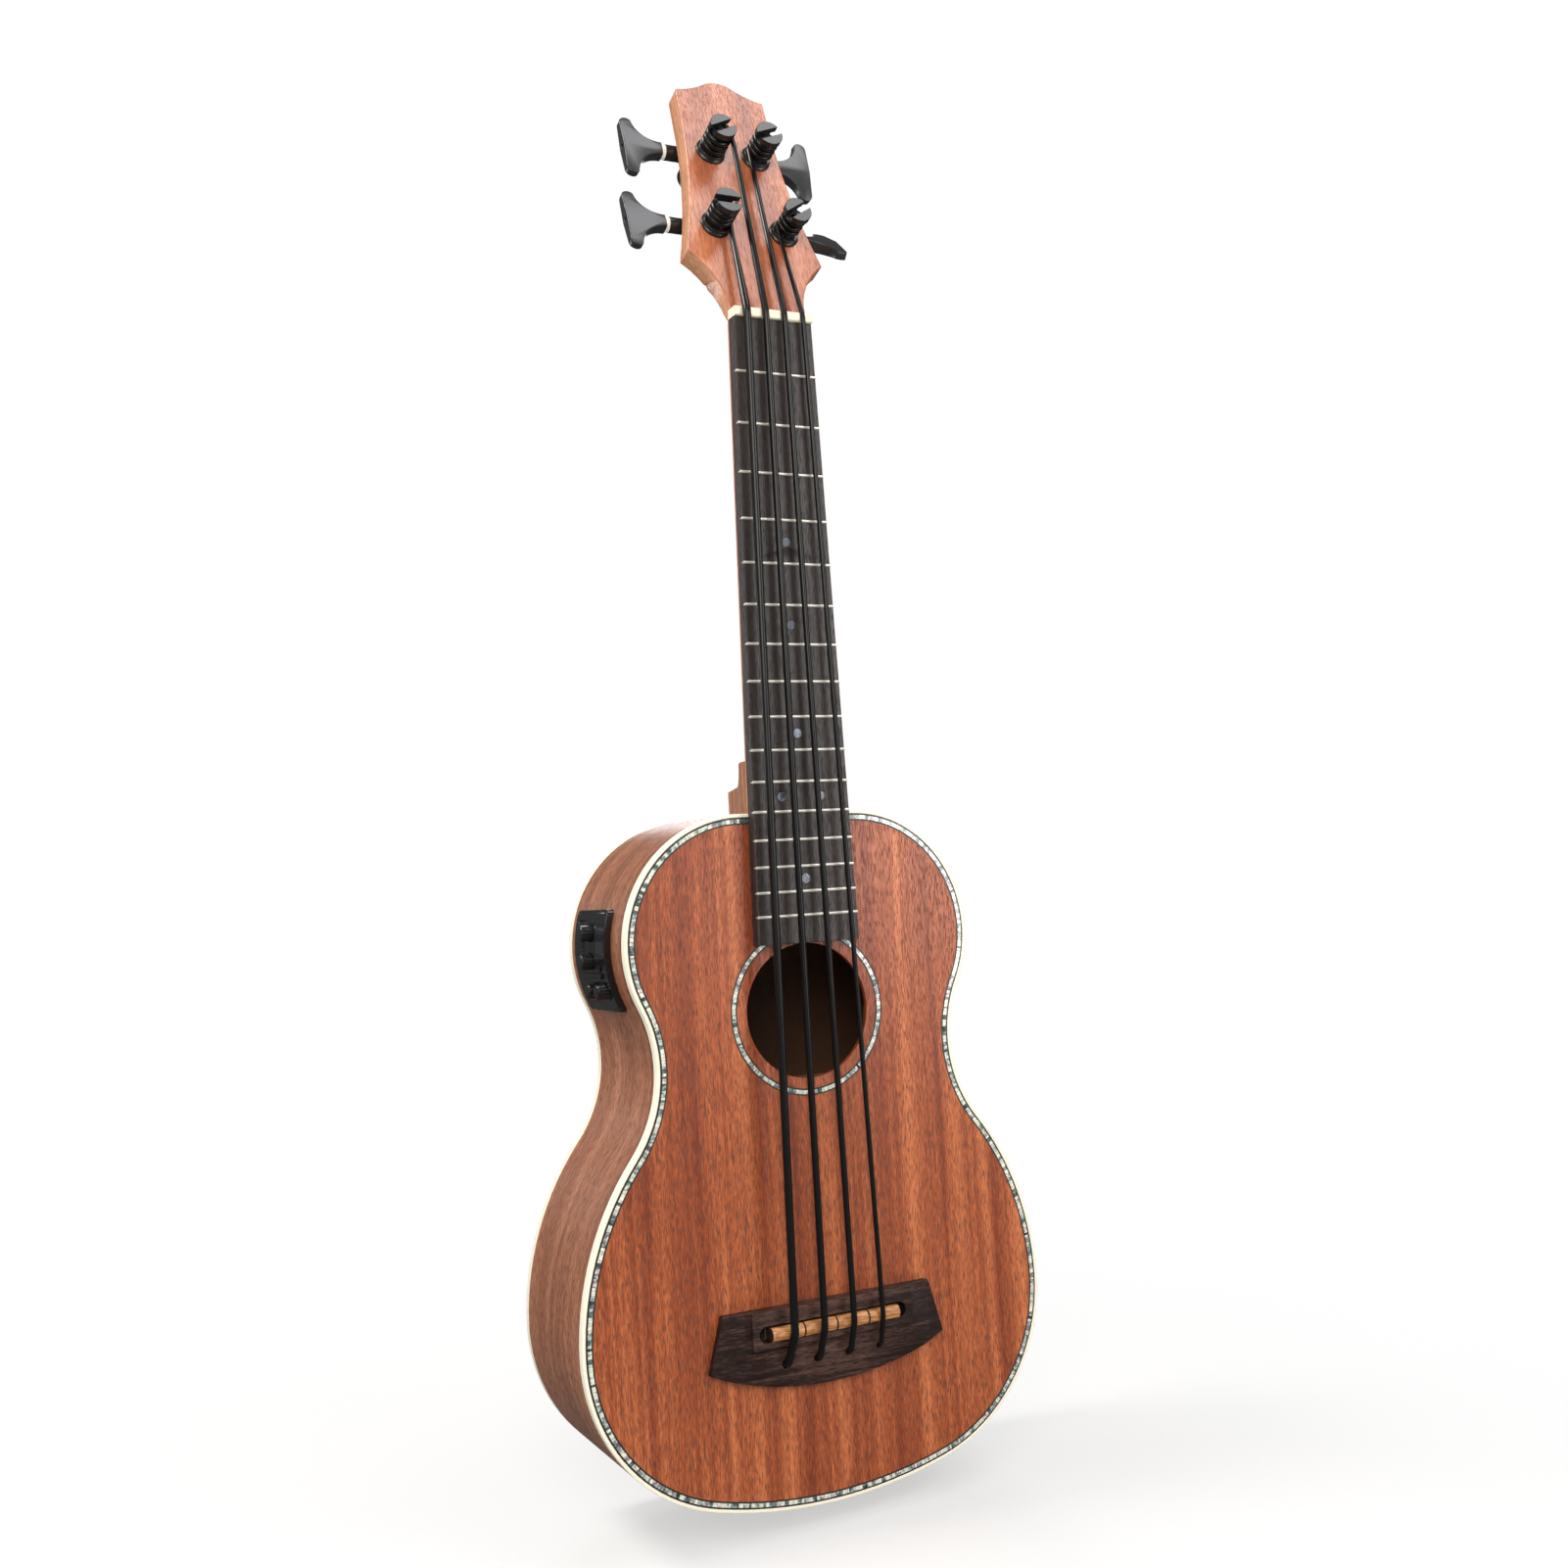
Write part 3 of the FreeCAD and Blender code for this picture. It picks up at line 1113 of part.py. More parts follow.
def key_button():
    """Two-winged key: its outline extruded, met by a roof-shaped section, with a hole in each end."""
    half, length, tip = size.key_half_width, size.key_length, size.key_tip_radius
    centre = (half - tip, length - tip)

    def on_tip(angle):
        turn = math.radians(angle)
        return Vector(centre[0] + tip * math.cos(turn), 0, centre[1] + tip * math.sin(turn))

    neck_half = size.key_neck_half_width
    right = [Vector(neck_half, 0, 0), Vector(neck_half, 0, KEY_NECK_SHARE * length),
             Vector(KEY_WAIST_SHARES[0] * half, 0, KEY_WAIST_SHARES[1] * length),
             on_tip(KEY_TIP_ANGLES[0]), on_tip(KEY_TIP_ANGLES[1]), on_tip(90)]
    edges = []
    for sign in (1, -1):
        p = [Vector(sign * q.x, 0, q.z) for q in right]
        edges += [Part.LineSegment(p[0], p[1]).toShape(), Part.Arc(p[1], p[2], p[3]).toShape(),
                  Part.Arc(p[3], p[4], p[5]).toShape()]
    ends = [Vector(-right[-1].x, 0, length), right[-1]]
    edges.append(Part.LineSegment(*ends).toShape())
    edges.append(Part.LineSegment(Vector(-neck_half, 0, 0), Vector(neck_half, 0, 0)).toShape())
    thick, thin = size.key_middle_thickness / 2, size.key_tip_thickness / 2
    plan = Part.Face(Part.Wire(Part.__sortEdges__(edges)))
    blank = plan.extrude(Y * 2 * thick).translate(Y * -thick)
    roof = extruded([Vector(x, y, 0) for x, y in ((-half, -thin), (0, -thick), (half, -thin),
                                                  (half, thin), (0, thick), (-half, thin))], Z * length)
    hole = Part.makeCylinder(size.key_shaft_radius + size.fit_clearance,
                             size.key_seat_depth + size.fit_clearance, Vector(), Z)
    recess = Part.makeCylinder(size.key_recess_radius, size.key_recess_depth + size.overrun,
                               Z * (length - size.key_recess_depth), Z)
    return blank.common(roof).cut([hole, recess])


feature("tuner_housings", Part.makeCompound([housing(number) for number in range(len(POSTS))]))
group("tuner_bushings", [bushing(number) for number in range(len(POSTS))])
group("tuner_screws", [screw for number in range(len(POSTS)) for screw in ear_screws(number)])
group("key_washers", [key_washer(number) for number in range(len(POSTS))])
for number in range(len(POSTS)):
    post(number)
    feature(f"key_shaft_{number + 1}", key_shaft(number), key_axis(number))
    on_shaft = Placement(Z * (size.sleeve_reach + size.washer_thickness + size.fit_clearance), Rotation())
    feature(f"key_{number + 1}", key_button(), key_axis(number, KEY_TURNS[number]).multiply(on_shaft))


# Preamp in the bass side

def skin_at(height):
    """X of the bass side's outer surface at a height."""
    return -half_width_at(height, 0)


def preamp_box(y_low, y_high, z_low, z_high, spare=0.0):
    """A bar through the bass side with the given front-to-back and up-and-down limits."""
    return Part.makeBox(far, y_high - y_low + 2 * spare, z_high - z_low + 2 * spare,
                        Vector(-far - size.overrun, y_low - spare, z_low - spare))


def rounded_bar(y_low, y_high, z_low, z_high, radius):
    bar = preamp_box(y_low, y_high, z_low, z_high)
    corners = [edge for edge in bar.Edges if abs(edge.Length - far) < size.fit_clearance]
    return bar.makeFillet(radius, corners)


def on_plate(across, up):
    """Depth and height of a place given from the plate's front and lower edges."""
    return size.bezel_front + across, preamp_low + up


KNOBS = [on_plate(size.knob_column, size.knob_upper), on_plate(size.knob_column, size.knob_middle),
         on_plate(size.knob_column, size.knob_lower), on_plate(size.knob_second_column, size.knob_lower)]
BUTTONS = [on_plate(size.button_place, size.button_upper), on_plate(size.button_place, size.button_lower)]
out = -X


def well(place):
    """A round well in the plate with its knob's stem hole."""
    y, height = place
    floor = skin_at(height) - size.bezel_well_floor
    deep = Part.makeCylinder(size.knob_radius + size.knob_gap, far, Vector(floor, y, height), out)
    stem = Part.makeCylinder(size.knob_stem_radius + size.fit_clearance, 2 * size.knob_stem_length,
                             Vector(floor + size.knob_stem_length + size.fit_clearance, y, height), out)
    return deep.fuse(stem)


def button_outer(height):
    return skin_at(height) - size.bezel_thickness - size.button_rise


def button_bar(place):
    """The space that a button needs through the plate and, when pressed, in the case."""
    y, height = place
    half, tall = size.button_length / 2, size.button_width / 2
    reach = button_outer(height) + size.button_depth + size.button_travel + size.tray_gap
    bar = preamp_box(y - half, y + half, height - tall, height + tall, size.tray_gap)
    return bar.common(Part.makeBox(far, 2 * behind, size.body_length, Vector(reach - far, -behind, 0)))


tray_width = 2 * (size.cell_thickness + size.fit_clearance + size.tray_wall) + size.cell_spare
tray_height = 2 * (size.cell_radius + size.tray_gap + size.tray_wall)
tray_back = bezel_back - size.case_margin - size.tray_margin
tray_top = preamp_top - size.case_margin - size.tray_margin
tray_limits = (tray_back - tray_width, tray_back, tray_top - tray_height, tray_top)
display_front, display_low = on_plate(size.display_place, size.display_low)
display_limits = (display_front, display_front + size.display_width,
                  display_low, display_low + size.display_height)
display_skin = size.bezel_thickness - size.plate_screw_sink
display_layer = rim(-display_skin, size.display_thickness - display_skin, -behind, behind)
screw_places = [(y, z) for y in (size.bezel_front + size.plate_screw_inset,
                                 bezel_back - size.plate_screw_inset)
                for z in (preamp_low + size.plate_screw_inset, preamp_top - size.plate_screw_inset)]


def plate_screw(place, spare):
    """A small countersunk screw through the plate into the side."""
    y, height = place
    top = skin_at(height) - size.bezel_thickness + size.plate_screw_sink
    head_end = Vector(top - spare, y, height)
    return Part.makeCylinder(size.plate_screw_radius + spare, size.plate_screw_head + 2 * spare,
                             head_end, X).fuse(
        Part.makeCylinder(size.plate_screw_shank_radius + spare, size.plate_screw_length,
                          head_end, X)).removeSplitter()


plate_band = rim(-size.bezel_thickness, 0, -behind, behind)
bezel = plate_band.common(rounded_bar(size.bezel_front, bezel_back, preamp_low, preamp_top,
                                      size.bezel_corner))
sink = display_layer.fuse(rim(-size.bezel_thickness - size.overrun, -display_skin, -behind, behind))
bezel = bezel.cut([well(place) for place in KNOBS])
bezel = bezel.cut([button_bar(place) for place in BUTTONS])
bezel = bezel.cut([preamp_box(*tray_limits, size.tray_gap),
                   sink.common(preamp_box(*display_limits, size.fit_clearance))])
bezel = bezel.cut([plate_screw(place, size.fit_clearance) for place in screw_places])
feature("preamp_bezel", bezel.removeSplitter())
feature("tuner_display", display_layer.common(preamp_box(*display_limits)))
feature("preamp_screws", Part.makeCompound([plate_screw(place, 0) for place in screw_places]))
side_holes = [plate_screw(place, size.fit_clearance) for place in screw_places]
side_holes += [well(place) for place in KNOBS]
nodes["side_bass"].Shape = nodes["side_bass"].Shape.cut(side_holes)

case_inside = skin_at(preamp_low) + size.case_depth
case = preamp_box(size.bezel_front + size.case_margin, bezel_back - size.case_margin,
                  preamp_low + size.case_margin, preamp_top - size.case_margin, -size.case_gap)
case = case.common(prism(size.fit_clearance, -behind, behind))
case = case.common(Part.makeBox(far, 2 * behind, size.body_length,
                                Vector(case_inside - far, -behind, 0)))
tray_length = size.tray_nose + 2 * (size.cell_radius + size.tray_gap) + size.tray_wall
tray_deep = min(skin_at(tray_top - tray_height), skin_at(tray_top)) + tray_length
tray_slot = preamp_box(*tray_limits, size.tray_gap).common(
    Part.makeBox(far, 2 * behind, size.body_length,
                 Vector(tray_deep + size.tray_gap - far, -behind, 0)))
case = case.cut([well(place) for place in KNOBS] + [button_bar(place) for place in BUTTONS])
case = case.cut(tray_slot)
feature("preamp_case", case.removeSplitter())

flute = "knob_flute_radius"
for number, (y, height) in enumerate(KNOBS, start=1):
    name = f"preamp_knob_{number}"
    knob = turned(name, [
        ("0", "-knob_stem_length"), ("knob_stem_radius", "-knob_stem_length"), ("knob_stem_radius", "0"),
        ("knob_radius", "0"), ("knob_radius", "knob_length - knob_flute_radius"),
        ("knob_radius - knob_flute_radius", "knob_length"), ("0", "knob_length")])
    groove = sketch_of(knob, name + "_flute", "XY_Plane", [
        (f"knob_radius - {flute}", "0"), (f"knob_radius + {flute}", f"-{flute}"),
        (f"knob_radius + {flute}", flute)])
    groove.setExpression("AttachmentOffset.Base.z", bound("knob_length"))
    around(knob, pocket(knob, groove, "knob_length * flute_share"), int(size.knob_flute_count))
    base = skin_at(height) - size.bezel_well_floor - size.seat_clearance
    knob.Placement = Placement(Vector(base, y, height), Rotation(Y, -90))
    keep(name, knob)

for number, (y, height) in enumerate(BUTTONS, start=1):
    button = doc.addObject("Part::Box", f"preamp_button_{number}")
    for edge, alias in (("Length", "button_depth"), ("Width", "button_length"), ("Height", "button_width")):
        button.setExpression(edge, bound(alias))
    button.Placement = Placement(Vector(button_outer(height), y - size.button_length / 2,
                                        height - size.button_width / 2), Rotation())
    keep(f"preamp_button_{number}", button)

# Coin-cell tray: a ridged front panel and a tub that holds two cells on edge
tray_skin = rim(-size.bezel_thickness, size.side_thickness, -behind, behind)
panel = preamp_box(*tray_limits).common(tray_skin)
tub = preamp_box(*tray_limits).common(Part.makeBox(far, 2 * behind, size.body_length,
                                                   Vector(tray_deep - far, -behind, 0)))
tub = tub.common(prism(0, -behind, behind))
tray_middle = tray_top - tray_height / 2
tray_inner_front = tray_back - tray_width + size.tray_wall
cell_centre = Vector(tray_deep - size.tray_wall - size.cell_radius - size.tray_gap, tray_inner_front,
                     tray_middle)
cell_room = Part.makeCylinder(size.cell_radius + size.tray_gap, tray_width, cell_centre, Y)
ridges = []
ridge_pitch = 4 * size.tray_ridge
for number in range(int(size.tray_ridge_count)):
    height = tray_middle + (number - (size.tray_ridge_count - 1) / 2) * ridge_pitch
    ridges.append(Part.makeBox(2 * size.tray_ridge, tray_width - 2 * size.tray_wall, 2 * size.tray_ridge,
                               Vector(skin_at(height) - size.bezel_thickness - size.tray_ridge,
                                      tray_inner_front, height - size.tray_ridge)))
tray = panel.fuse(tub).fuse(ridges).cut(cell_room)
feature("battery_tray", tray.removeSplitter())
cell_pitch = size.cell_thickness + size.fit_clearance
feature("battery_cells", Part.makeCompound([
    Part.makeCylinder(size.cell_radius, size.cell_thickness,
                      cell_centre + Y * (size.fit_clearance + step * cell_pitch), Y)
    for step in range(2)]))


# End-pin jack and strap button

bore = "jack_bore / 2"
barrel = turned("jack_barrel", [
    (bore, "-strap_length"), ("jack_radius", "-strap_length"),
    ("jack_radius", "jack_length - strap_length"), (bore, "jack_length - strap_length")])
keep("jack_barrel", barrel)
seat_radius = "(jack_radius + fit_clearance)"
keep("strap_button", turned("strap_button", [
    (seat_radius, "-strap_length"), ("strap_radius", "-strap_length"),
    ("strap_radius", "strap_flange - strap_length"), ("strap_neck_radius", "strap_flange - strap_length"),
    ("strap_neck_radius", "-strap_flange"), ("strap_radius", "-strap_flange"),
    ("strap_radius", "0"), (seat_radius, "0")]))


# Export

doc.recompute()
for thing in doc.Objects:
    assert not {"Invalid", "Error"} & set(thing.State), f"{thing.Label}: {thing.State}"
for label, thing in nodes.items():
    shape = thing.Shape
    assert not shape.isNull() and shape.isValid() and shape.Solids, f"{label} has no valid solid"
os.makedirs("parts", exist_ok=True)
for label, thing in nodes.items():
    thing.Shape.exportStep(f"parts/{label}.step")
print(len(nodes), "nodes written")
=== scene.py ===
import json
import math
import random

import bmesh
import bpy
from mathutils import Euler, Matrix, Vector
from mathutils.bvhtree import BVHTree


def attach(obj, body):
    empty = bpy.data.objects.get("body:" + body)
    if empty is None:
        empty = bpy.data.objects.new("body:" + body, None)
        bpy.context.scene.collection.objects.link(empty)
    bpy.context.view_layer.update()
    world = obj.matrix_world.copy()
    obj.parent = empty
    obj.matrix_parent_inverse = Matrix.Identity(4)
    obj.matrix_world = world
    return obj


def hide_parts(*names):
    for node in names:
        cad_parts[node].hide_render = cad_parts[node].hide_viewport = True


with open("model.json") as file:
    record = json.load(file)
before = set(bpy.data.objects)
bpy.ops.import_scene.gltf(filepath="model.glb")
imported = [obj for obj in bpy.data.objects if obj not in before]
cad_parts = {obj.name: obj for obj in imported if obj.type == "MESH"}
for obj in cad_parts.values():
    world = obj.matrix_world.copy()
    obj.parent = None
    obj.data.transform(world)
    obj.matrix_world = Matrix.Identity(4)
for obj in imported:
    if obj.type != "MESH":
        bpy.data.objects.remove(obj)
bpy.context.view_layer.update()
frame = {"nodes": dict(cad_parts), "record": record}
nodes = frame["nodes"]
record = frame["record"]
millimetre = 0.001
print("frame loaded:", len(nodes), "nodes")


# Node graphs written as Python expressions

class Socket:
    def __init__(self, graph, link):
        self.graph = graph
        self.link = link

    def __add__(self, other):
        return self.graph.math("ADD", self, other)

    def __sub__(self, other):
        return self.graph.math("SUBTRACT", self, other)

    def __rsub__(self, other):
        return self.graph.math("SUBTRACT", other, self)

    def __mul__(self, other):
        return self.graph.math("MULTIPLY", self, other)


class Graph:
    def __init__(self, tree):
        self.tree = tree

    def put(self, socket, value):
        if isinstance(value, Socket):
            self.tree.links.new(value.link, socket)
        else:
            socket.default_value = value

    def add(self, kind, settings=(), values=(), output=0):
        node = self.tree.nodes.new(kind)
        for name, value in dict(settings).items():
            setattr(node, name, value)
        for key, value in dict(values).items():
            self.put(node.inputs[key], value)
        return Socket(self, node.outputs[output])

    def math(self, operation, *values):
        return self.add("ShaderNodeMath", {"operation": operation}, dict(enumerate(values)))

    def vector(self, operation, *values, output="Vector"):
        return self.add("ShaderNodeVectorMath", {"operation": operation}, dict(enumerate(values)), output)

    def axis(self, place, letter):
        return self.add("ShaderNodeSeparateXYZ", values={"Vector": place}, output=letter)

    def vectorOf(self, **parts):
        return self.add("ShaderNodeCombineXYZ", values=parts)

    def limit(self, value, low, high):
        values = {"Value": value, "From Min": low, "From Max": high}
        return self.add("ShaderNodeMapRange", {"interpolation_type": "SMOOTHSTEP"}, values)

    def mix(self, factor, first, second):
        # The node has a set of sockets for each data type: 6, 7 and output 2 are the colours
        return self.add("ShaderNodeMix", {"data_type": "RGBA"}, {0: factor, 6: first, 7: second}, 2)

    def ramp(self, factor, stops):
        made = self.add("ShaderNodeValToRGB", values={"Fac": factor})
        elements = made.link.node.color_ramp.elements
        elements.remove(elements[1])
        for index, (place, colour) in enumerate(stops):
            element = elements[0] if index == 0 else elements.new(place)
            element.position = place
            element.color = (*colour, 1)
        return made

    def noise(self, place, scales, detail=2.0, roughness=0.5, output="Fac"):
        stretched = self.vector("MULTIPLY", place, scales)
        values = {"Vector": stretched, "Scale": 1.0, "Detail": detail, "Roughness": roughness}
        return self.add("ShaderNodeTexNoise", values=values, output=output)

    def evenNoise(self, place, scale, detail=2.0, roughness=0.5, output="Fac"):
        return self.noise(place, (scale,) * 3, detail, roughness, output)

    def objectPlace(self):
        return self.add("ShaderNodeTexCoord", output="Object")

    def attribute(self, name):
        return self.add("ShaderNodeAttribute", {"attribute_name": name}, output="Fac")

    def lightPath(self, kind):
        return self.add("ShaderNodeLightPath", output=kind)

    def bump(self, height, distance):
        return self.add("ShaderNodeBump", values={"Distance": distance, "Height": height})


def material(name, paint, **fixed):
    made = bpy.data.materials.new(name)
    made.use_nodes = True
    tree = made.node_tree
    shader = tree.nodes["Principled BSDF"]
    graph = Graph(tree)
    for socket, value in fixed.items():
        shader.inputs[socket.replace("_", " ")].default_value = value
    for socket, value in paint(graph).items():
        graph.put(shader.inputs[socket], value)
    return made


# Woods. Each grain layer has a scale across and one along the grain, in cycles per metre

plainWood = {
    "grain": (1, 1, 0), "along": (0, 0, 1), "wander": 0.004, "wanderScale": 4.0, "figure": (9.0, 9.0, 1.6),
    "ribbon": (95.0, 1.6), "stripe": (330.0, 4.5), "fleck": (1600.0, 200.0), "pore": (2050.0, 240.0),
    "shares": (0.22, 0.30, 0.22, 0.30), "contrast": 2.8,  # of figure, ribbon, stripe and fleck
    "poreRange": (0.54, 0.64), "poreDepth": 0.6, "poreColour": (0.070, 0.018, 0.010),
    "roughness": 0.35, "poreRoughness": 0.2, "fleckRoughness": 0.12, "coat": 0.0, "coatRoughness": 0.25,
    "sheen": 0.5, "bump": 0.00004, "fleckHeight": 0.35,
    # The slope value paints light: lighter towards -X and darker towards +X, as the light falls
    "middle": 0.0, "middleWidth": (0.012, 0.055), "slope": 0.0,  # darker middle, and darker towards +X
    "edge": 0.0008,  # softness of the changes of colour below
    # Behind the face, the flank colours are painted light: lighter, paler colours for the brightly lit neck
    # sides, back and heel
    "tilt": 0.0, "face": 0.0, "flank": (),  # the headstock's lean and face, and the colours behind it
    # The next three values paint shade: faces deeper than a level are darkened, as the shade in the saddle
    # slots
    "sunk": 0.0, "sunkShade": 0.9, "sunkColour": (0.01, 0.005, 0.003),
    # The next two values paint shade: the back's inside face takes a dark colour, as the shade inside the
    # body
    "inner": 0.0, "innerColour": (0.085, 0.042, 0.026),
    "joint": 0.0, "jointWidth": (0.0003, 0.0007), "jointColour": (0.03, 0.013, 0.006),
    "stops": ((0.20, (0.148, 0.023, 0.005)), (0.50, (0.29, 0.065, 0.017)), (0.80, (0.48, 0.142, 0.046))),
}
bodyForm = {"headFoot": 0.620999, "headLean": 17.8, "backRise": 10, "backLength": 357}


def wood(name, **changes):
    look = {**plainWood, **changes}

    def layer(graph, place, key, detail, roughness=0.5):
        across, run = look[key]
        scales = tuple(a * across + b * run for a, b in zip(look["grain"], look["along"]))
        return graph.noise(place, scales, detail, roughness)

    def wandering(graph, place):
        drift = graph.evenNoise(place, look["wanderScale"], 1.0, output="Color")
        drift = graph.vector("SUBTRACT", drift, (0.5, 0.5, 0.5))
        return graph.vector("ADD", place, graph.vector("MULTIPLY", drift, (look["wander"] * 2,) * 3))

    def past(graph, depth, start):
        return graph.limit(depth, start, start + look["edge"])

    def paint(graph):
        home = graph.objectPlace()
        upright = home
        if look["tilt"]:
            rise = graph.math("MAXIMUM", graph.axis(home, "Z") - bodyForm["headFoot"], 0.0)
            upright = graph.vector("ADD", home, graph.vectorOf(Y=rise * -look["tilt"]))
        depth = graph.axis(upright, "Y")
        place = wandering(graph, upright)
        fleck = layer(graph, place, "fleck", 2.0, 0.6)
        layers = [graph.noise(place, look["figure"]), layer(graph, place, "ribbon", 1.0),
                  layer(graph, place, "stripe", 2.0), fleck]
        pores = graph.limit(layer(graph, place, "pore", 0.5), *look["poreRange"])
        tone = 0.5
        for grain, share in zip(layers, look["shares"]):
            tone = (grain - 0.5) * (share * look["contrast"]) + tone
        if look["middle"]:
            across = graph.axis(place, "X")
            aside = graph.limit(graph.math("ABSOLUTE", across), *look["middleWidth"])
            # The slope term is painted light: the tone rises towards -X and falls towards +X
            tone = tone - (1.0 - aside) * look["middle"] - across * look["slope"]
        colour = graph.ramp(tone, look["stops"])
        # Painted light: behind the face plane the neck takes the lighter flank colours of its brightly lit
        # sides and heel
        if look["face"]:
            colour = graph.mix(past(graph, depth, look["face"]), colour, graph.ramp(tone, look["flank"]))
        colour = graph.mix(pores * look["poreDepth"], colour, (*look["poreColour"], 1))
        # Painted shade: faces deeper than the level are darkened towards a dark colour, as shade in a slot
        if look["sunk"]:
            shade = past(graph, depth, look["sunk"]) * look["sunkShade"]
            colour = graph.mix(shade, colour, (*look["sunkColour"], 1))
        # Painted shade: in front of a level along the sloping back, the inside face is painted dark
        if look["inner"]:
            level = graph.axis(home, "Z") * (bodyForm["backRise"] / bodyForm["backLength"]) + depth
            colour = graph.mix(past(graph, level, look["inner"]), (*look["innerColour"], 1), colour)
        if look["joint"]:
            aside = graph.math("PINGPONG", graph.axis(home, "X"), look["joint"])
            colour = graph.mix(graph.limit(aside, *look["jointWidth"]), (*look["jointColour"], 1), colour)
        roughness = pores * look["poreRoughness"] + (look["roughness"] + look["fleckRoughness"] / 2)
        return {"Base Color": colour, "Roughness": roughness - fleck * look["fleckRoughness"],
                "Normal": graph.bump(fleck * look["fleckHeight"] - pores, look["bump"])}

    return material(name, paint, Coat_Weight=look["coat"], Coat_Roughness=look["coatRoughness"],
                    Specular_IOR_Level=look["sheen"])


# The top's slope is painted light, lighter on its -X side and darker on its +X side
topWood = wood("topWood", middle=0.08, slope=0.6)
# The back's inside face is painted dark as the shade inside the body
backWood = wood("backWood", inner=0.0454, stops=(
    (0.22, (0.16, 0.047, 0.022)), (0.50, (0.27, 0.088, 0.042)), (0.78, (0.40, 0.165, 0.09))))
sideWood = wood("sideWood", grain=(0, 1, 0), along=(1, 0, 1), figure=(4.0, 14.0, 4.0), ribbon=(140.0, 2.5),
                stripe=(420.0, 7.0), shares=(0.16, 0.20, 0.18, 0.36), contrast=2.5, stops=(
                    (0.24, (0.140, 0.050, 0.024)), (0.50, (0.260, 0.100, 0.051)),
                    (0.76, (0.41, 0.180, 0.104))))
# The lighter flank colours behind the neck's face are painted light for its lit sides and heel
neckWood = wood("neckWood", tilt=math.tan(math.radians(bodyForm["headLean"])), figure=(20.0, 20.0, 3.0),
                ribbon=(70.0, 3.0), poreDepth=0.3, coat=0.25, roughness=0.38, contrast=1.9, face=-0.0508,
                flank=((0.20, (0.18, 0.060, 0.024)), (0.50, (0.36, 0.150, 0.072)),
                       (0.80, (0.54, 0.285, 0.160))),
                stops=((0.20, (0.17, 0.038, 0.013)), (0.50, (0.34, 0.096, 0.040)),
                       (0.80, (0.53, 0.195, 0.095))))
boardWood = wood("boardWood", ribbon=(240.0, 6.0), stripe=(700.0, 14.0), poreDepth=0.8, roughness=0.46,
                 poreColour=(0.010, 0.008, 0.008), stops=(
                     (0.22, (0.016, 0.012, 0.012)), (0.50, (0.030, 0.023, 0.022)),
                     (0.78, (0.058, 0.041, 0.038))))
bridgeWood = wood("bridgeWood", grain=(0, 1, 1), along=(1, 0, 0), figure=(8.0, 40.0, 40.0),
                  ribbon=(360.0, 10.0), stripe=(1100.0, 24.0), poreDepth=0.7, roughness=0.42, sheen=0.25,
                  contrast=2.0, middle=-0.22, poreColour=(0.010, 0.005, 0.004), stops=(
                      (0.26, (0.008, 0.004, 0.0035)), (0.52, (0.020, 0.009, 0.0075)),
                      (0.86, (0.085, 0.042, 0.033))))
# The saddles' ends deeper than the bridge's face are painted dark as the shade in their slots
saddleWood = wood("saddleWood", grain=(0, 1, 1), along=(1, 0, 0), figure=(30.0, 60.0, 60.0),
                  ribbon=(420.0, 30.0), stripe=(1200.0, 60.0), roughness=0.38, sunk=-0.0570, joint=0.0093,
                  poreColour=(0.12, 0.040, 0.012), stops=(
                      (0.22, (0.22, 0.085, 0.026)), (0.50, (0.40, 0.175, 0.056)),
                      (0.78, (0.60, 0.31, 0.12))))
insideWood = wood("insideWood", poreDepth=0.3, roughness=0.65, stops=(
    (0.22, (0.32, 0.17, 0.09)), (0.50, (0.46, 0.27, 0.15)), (0.78, (0.60, 0.40, 0.24))))


# Plastics, metals and strings

speckle = {"detail": 3.0, "roughness": 0.6, "cloud": 35.0}


def speckled(name, base, tint, scale, roughness, spread, bump=0.00002, **fixed):
    def paint(graph):
        place = graph.objectPlace()
        grain = graph.evenNoise(place, scale, speckle["detail"], speckle["roughness"])
        cloud = graph.evenNoise(place, speckle["cloud"])
        colour = graph.mix(grain * 0.5 + cloud * 0.5, (*base, 1), (*tint, 1))
        return {"Base Color": colour, "Roughness": grain * spread + (roughness - spread / 2),
                "Normal": graph.bump(grain, bump)}

    return material(name, paint, **fixed)


bindingCream = speckled("bindingCream", (0.67, 0.63, 0.51), (0.75, 0.71, 0.60), 700.0, 0.32, 0.10, 0.00001)
blackLine = speckled("blackLine", (0.010, 0.009, 0.009), (0.022, 0.019, 0.018), 900.0, 0.45, 0.15)
boneWhite = speckled("boneWhite", (0.60, 0.55, 0.42), (0.68, 0.63, 0.50), 500.0, 0.34, 0.14, 0.000005)
nylonWhite = speckled("nylonWhite", (0.72, 0.72, 0.70), (0.82, 0.82, 0.80), 800.0, 0.45, 0.12)
stringPolymer = speckled("stringPolymer", (0.003, 0.003, 0.0033), (0.006, 0.006, 0.0066), 1500.0, 0.30, 0.10,
                         0.00001, Specular_IOR_Level=0.3)
blackPlastic = speckled("blackPlastic", (0.0045, 0.0045, 0.005), (0.008, 0.008, 0.0085), 2600.0, 0.16, 0.06,
                        0.000004)
knobPlastic = speckled("knobPlastic", (0.004, 0.004, 0.0045), (0.009, 0.009, 0.0095), 1800.0, 0.24, 0.08,
                       0.000005)
displayGlass = speckled("displayGlass", (0.008, 0.009, 0.011), (0.016, 0.018, 0.021), 300.0, 0.12, 0.06,
                        0.000004)
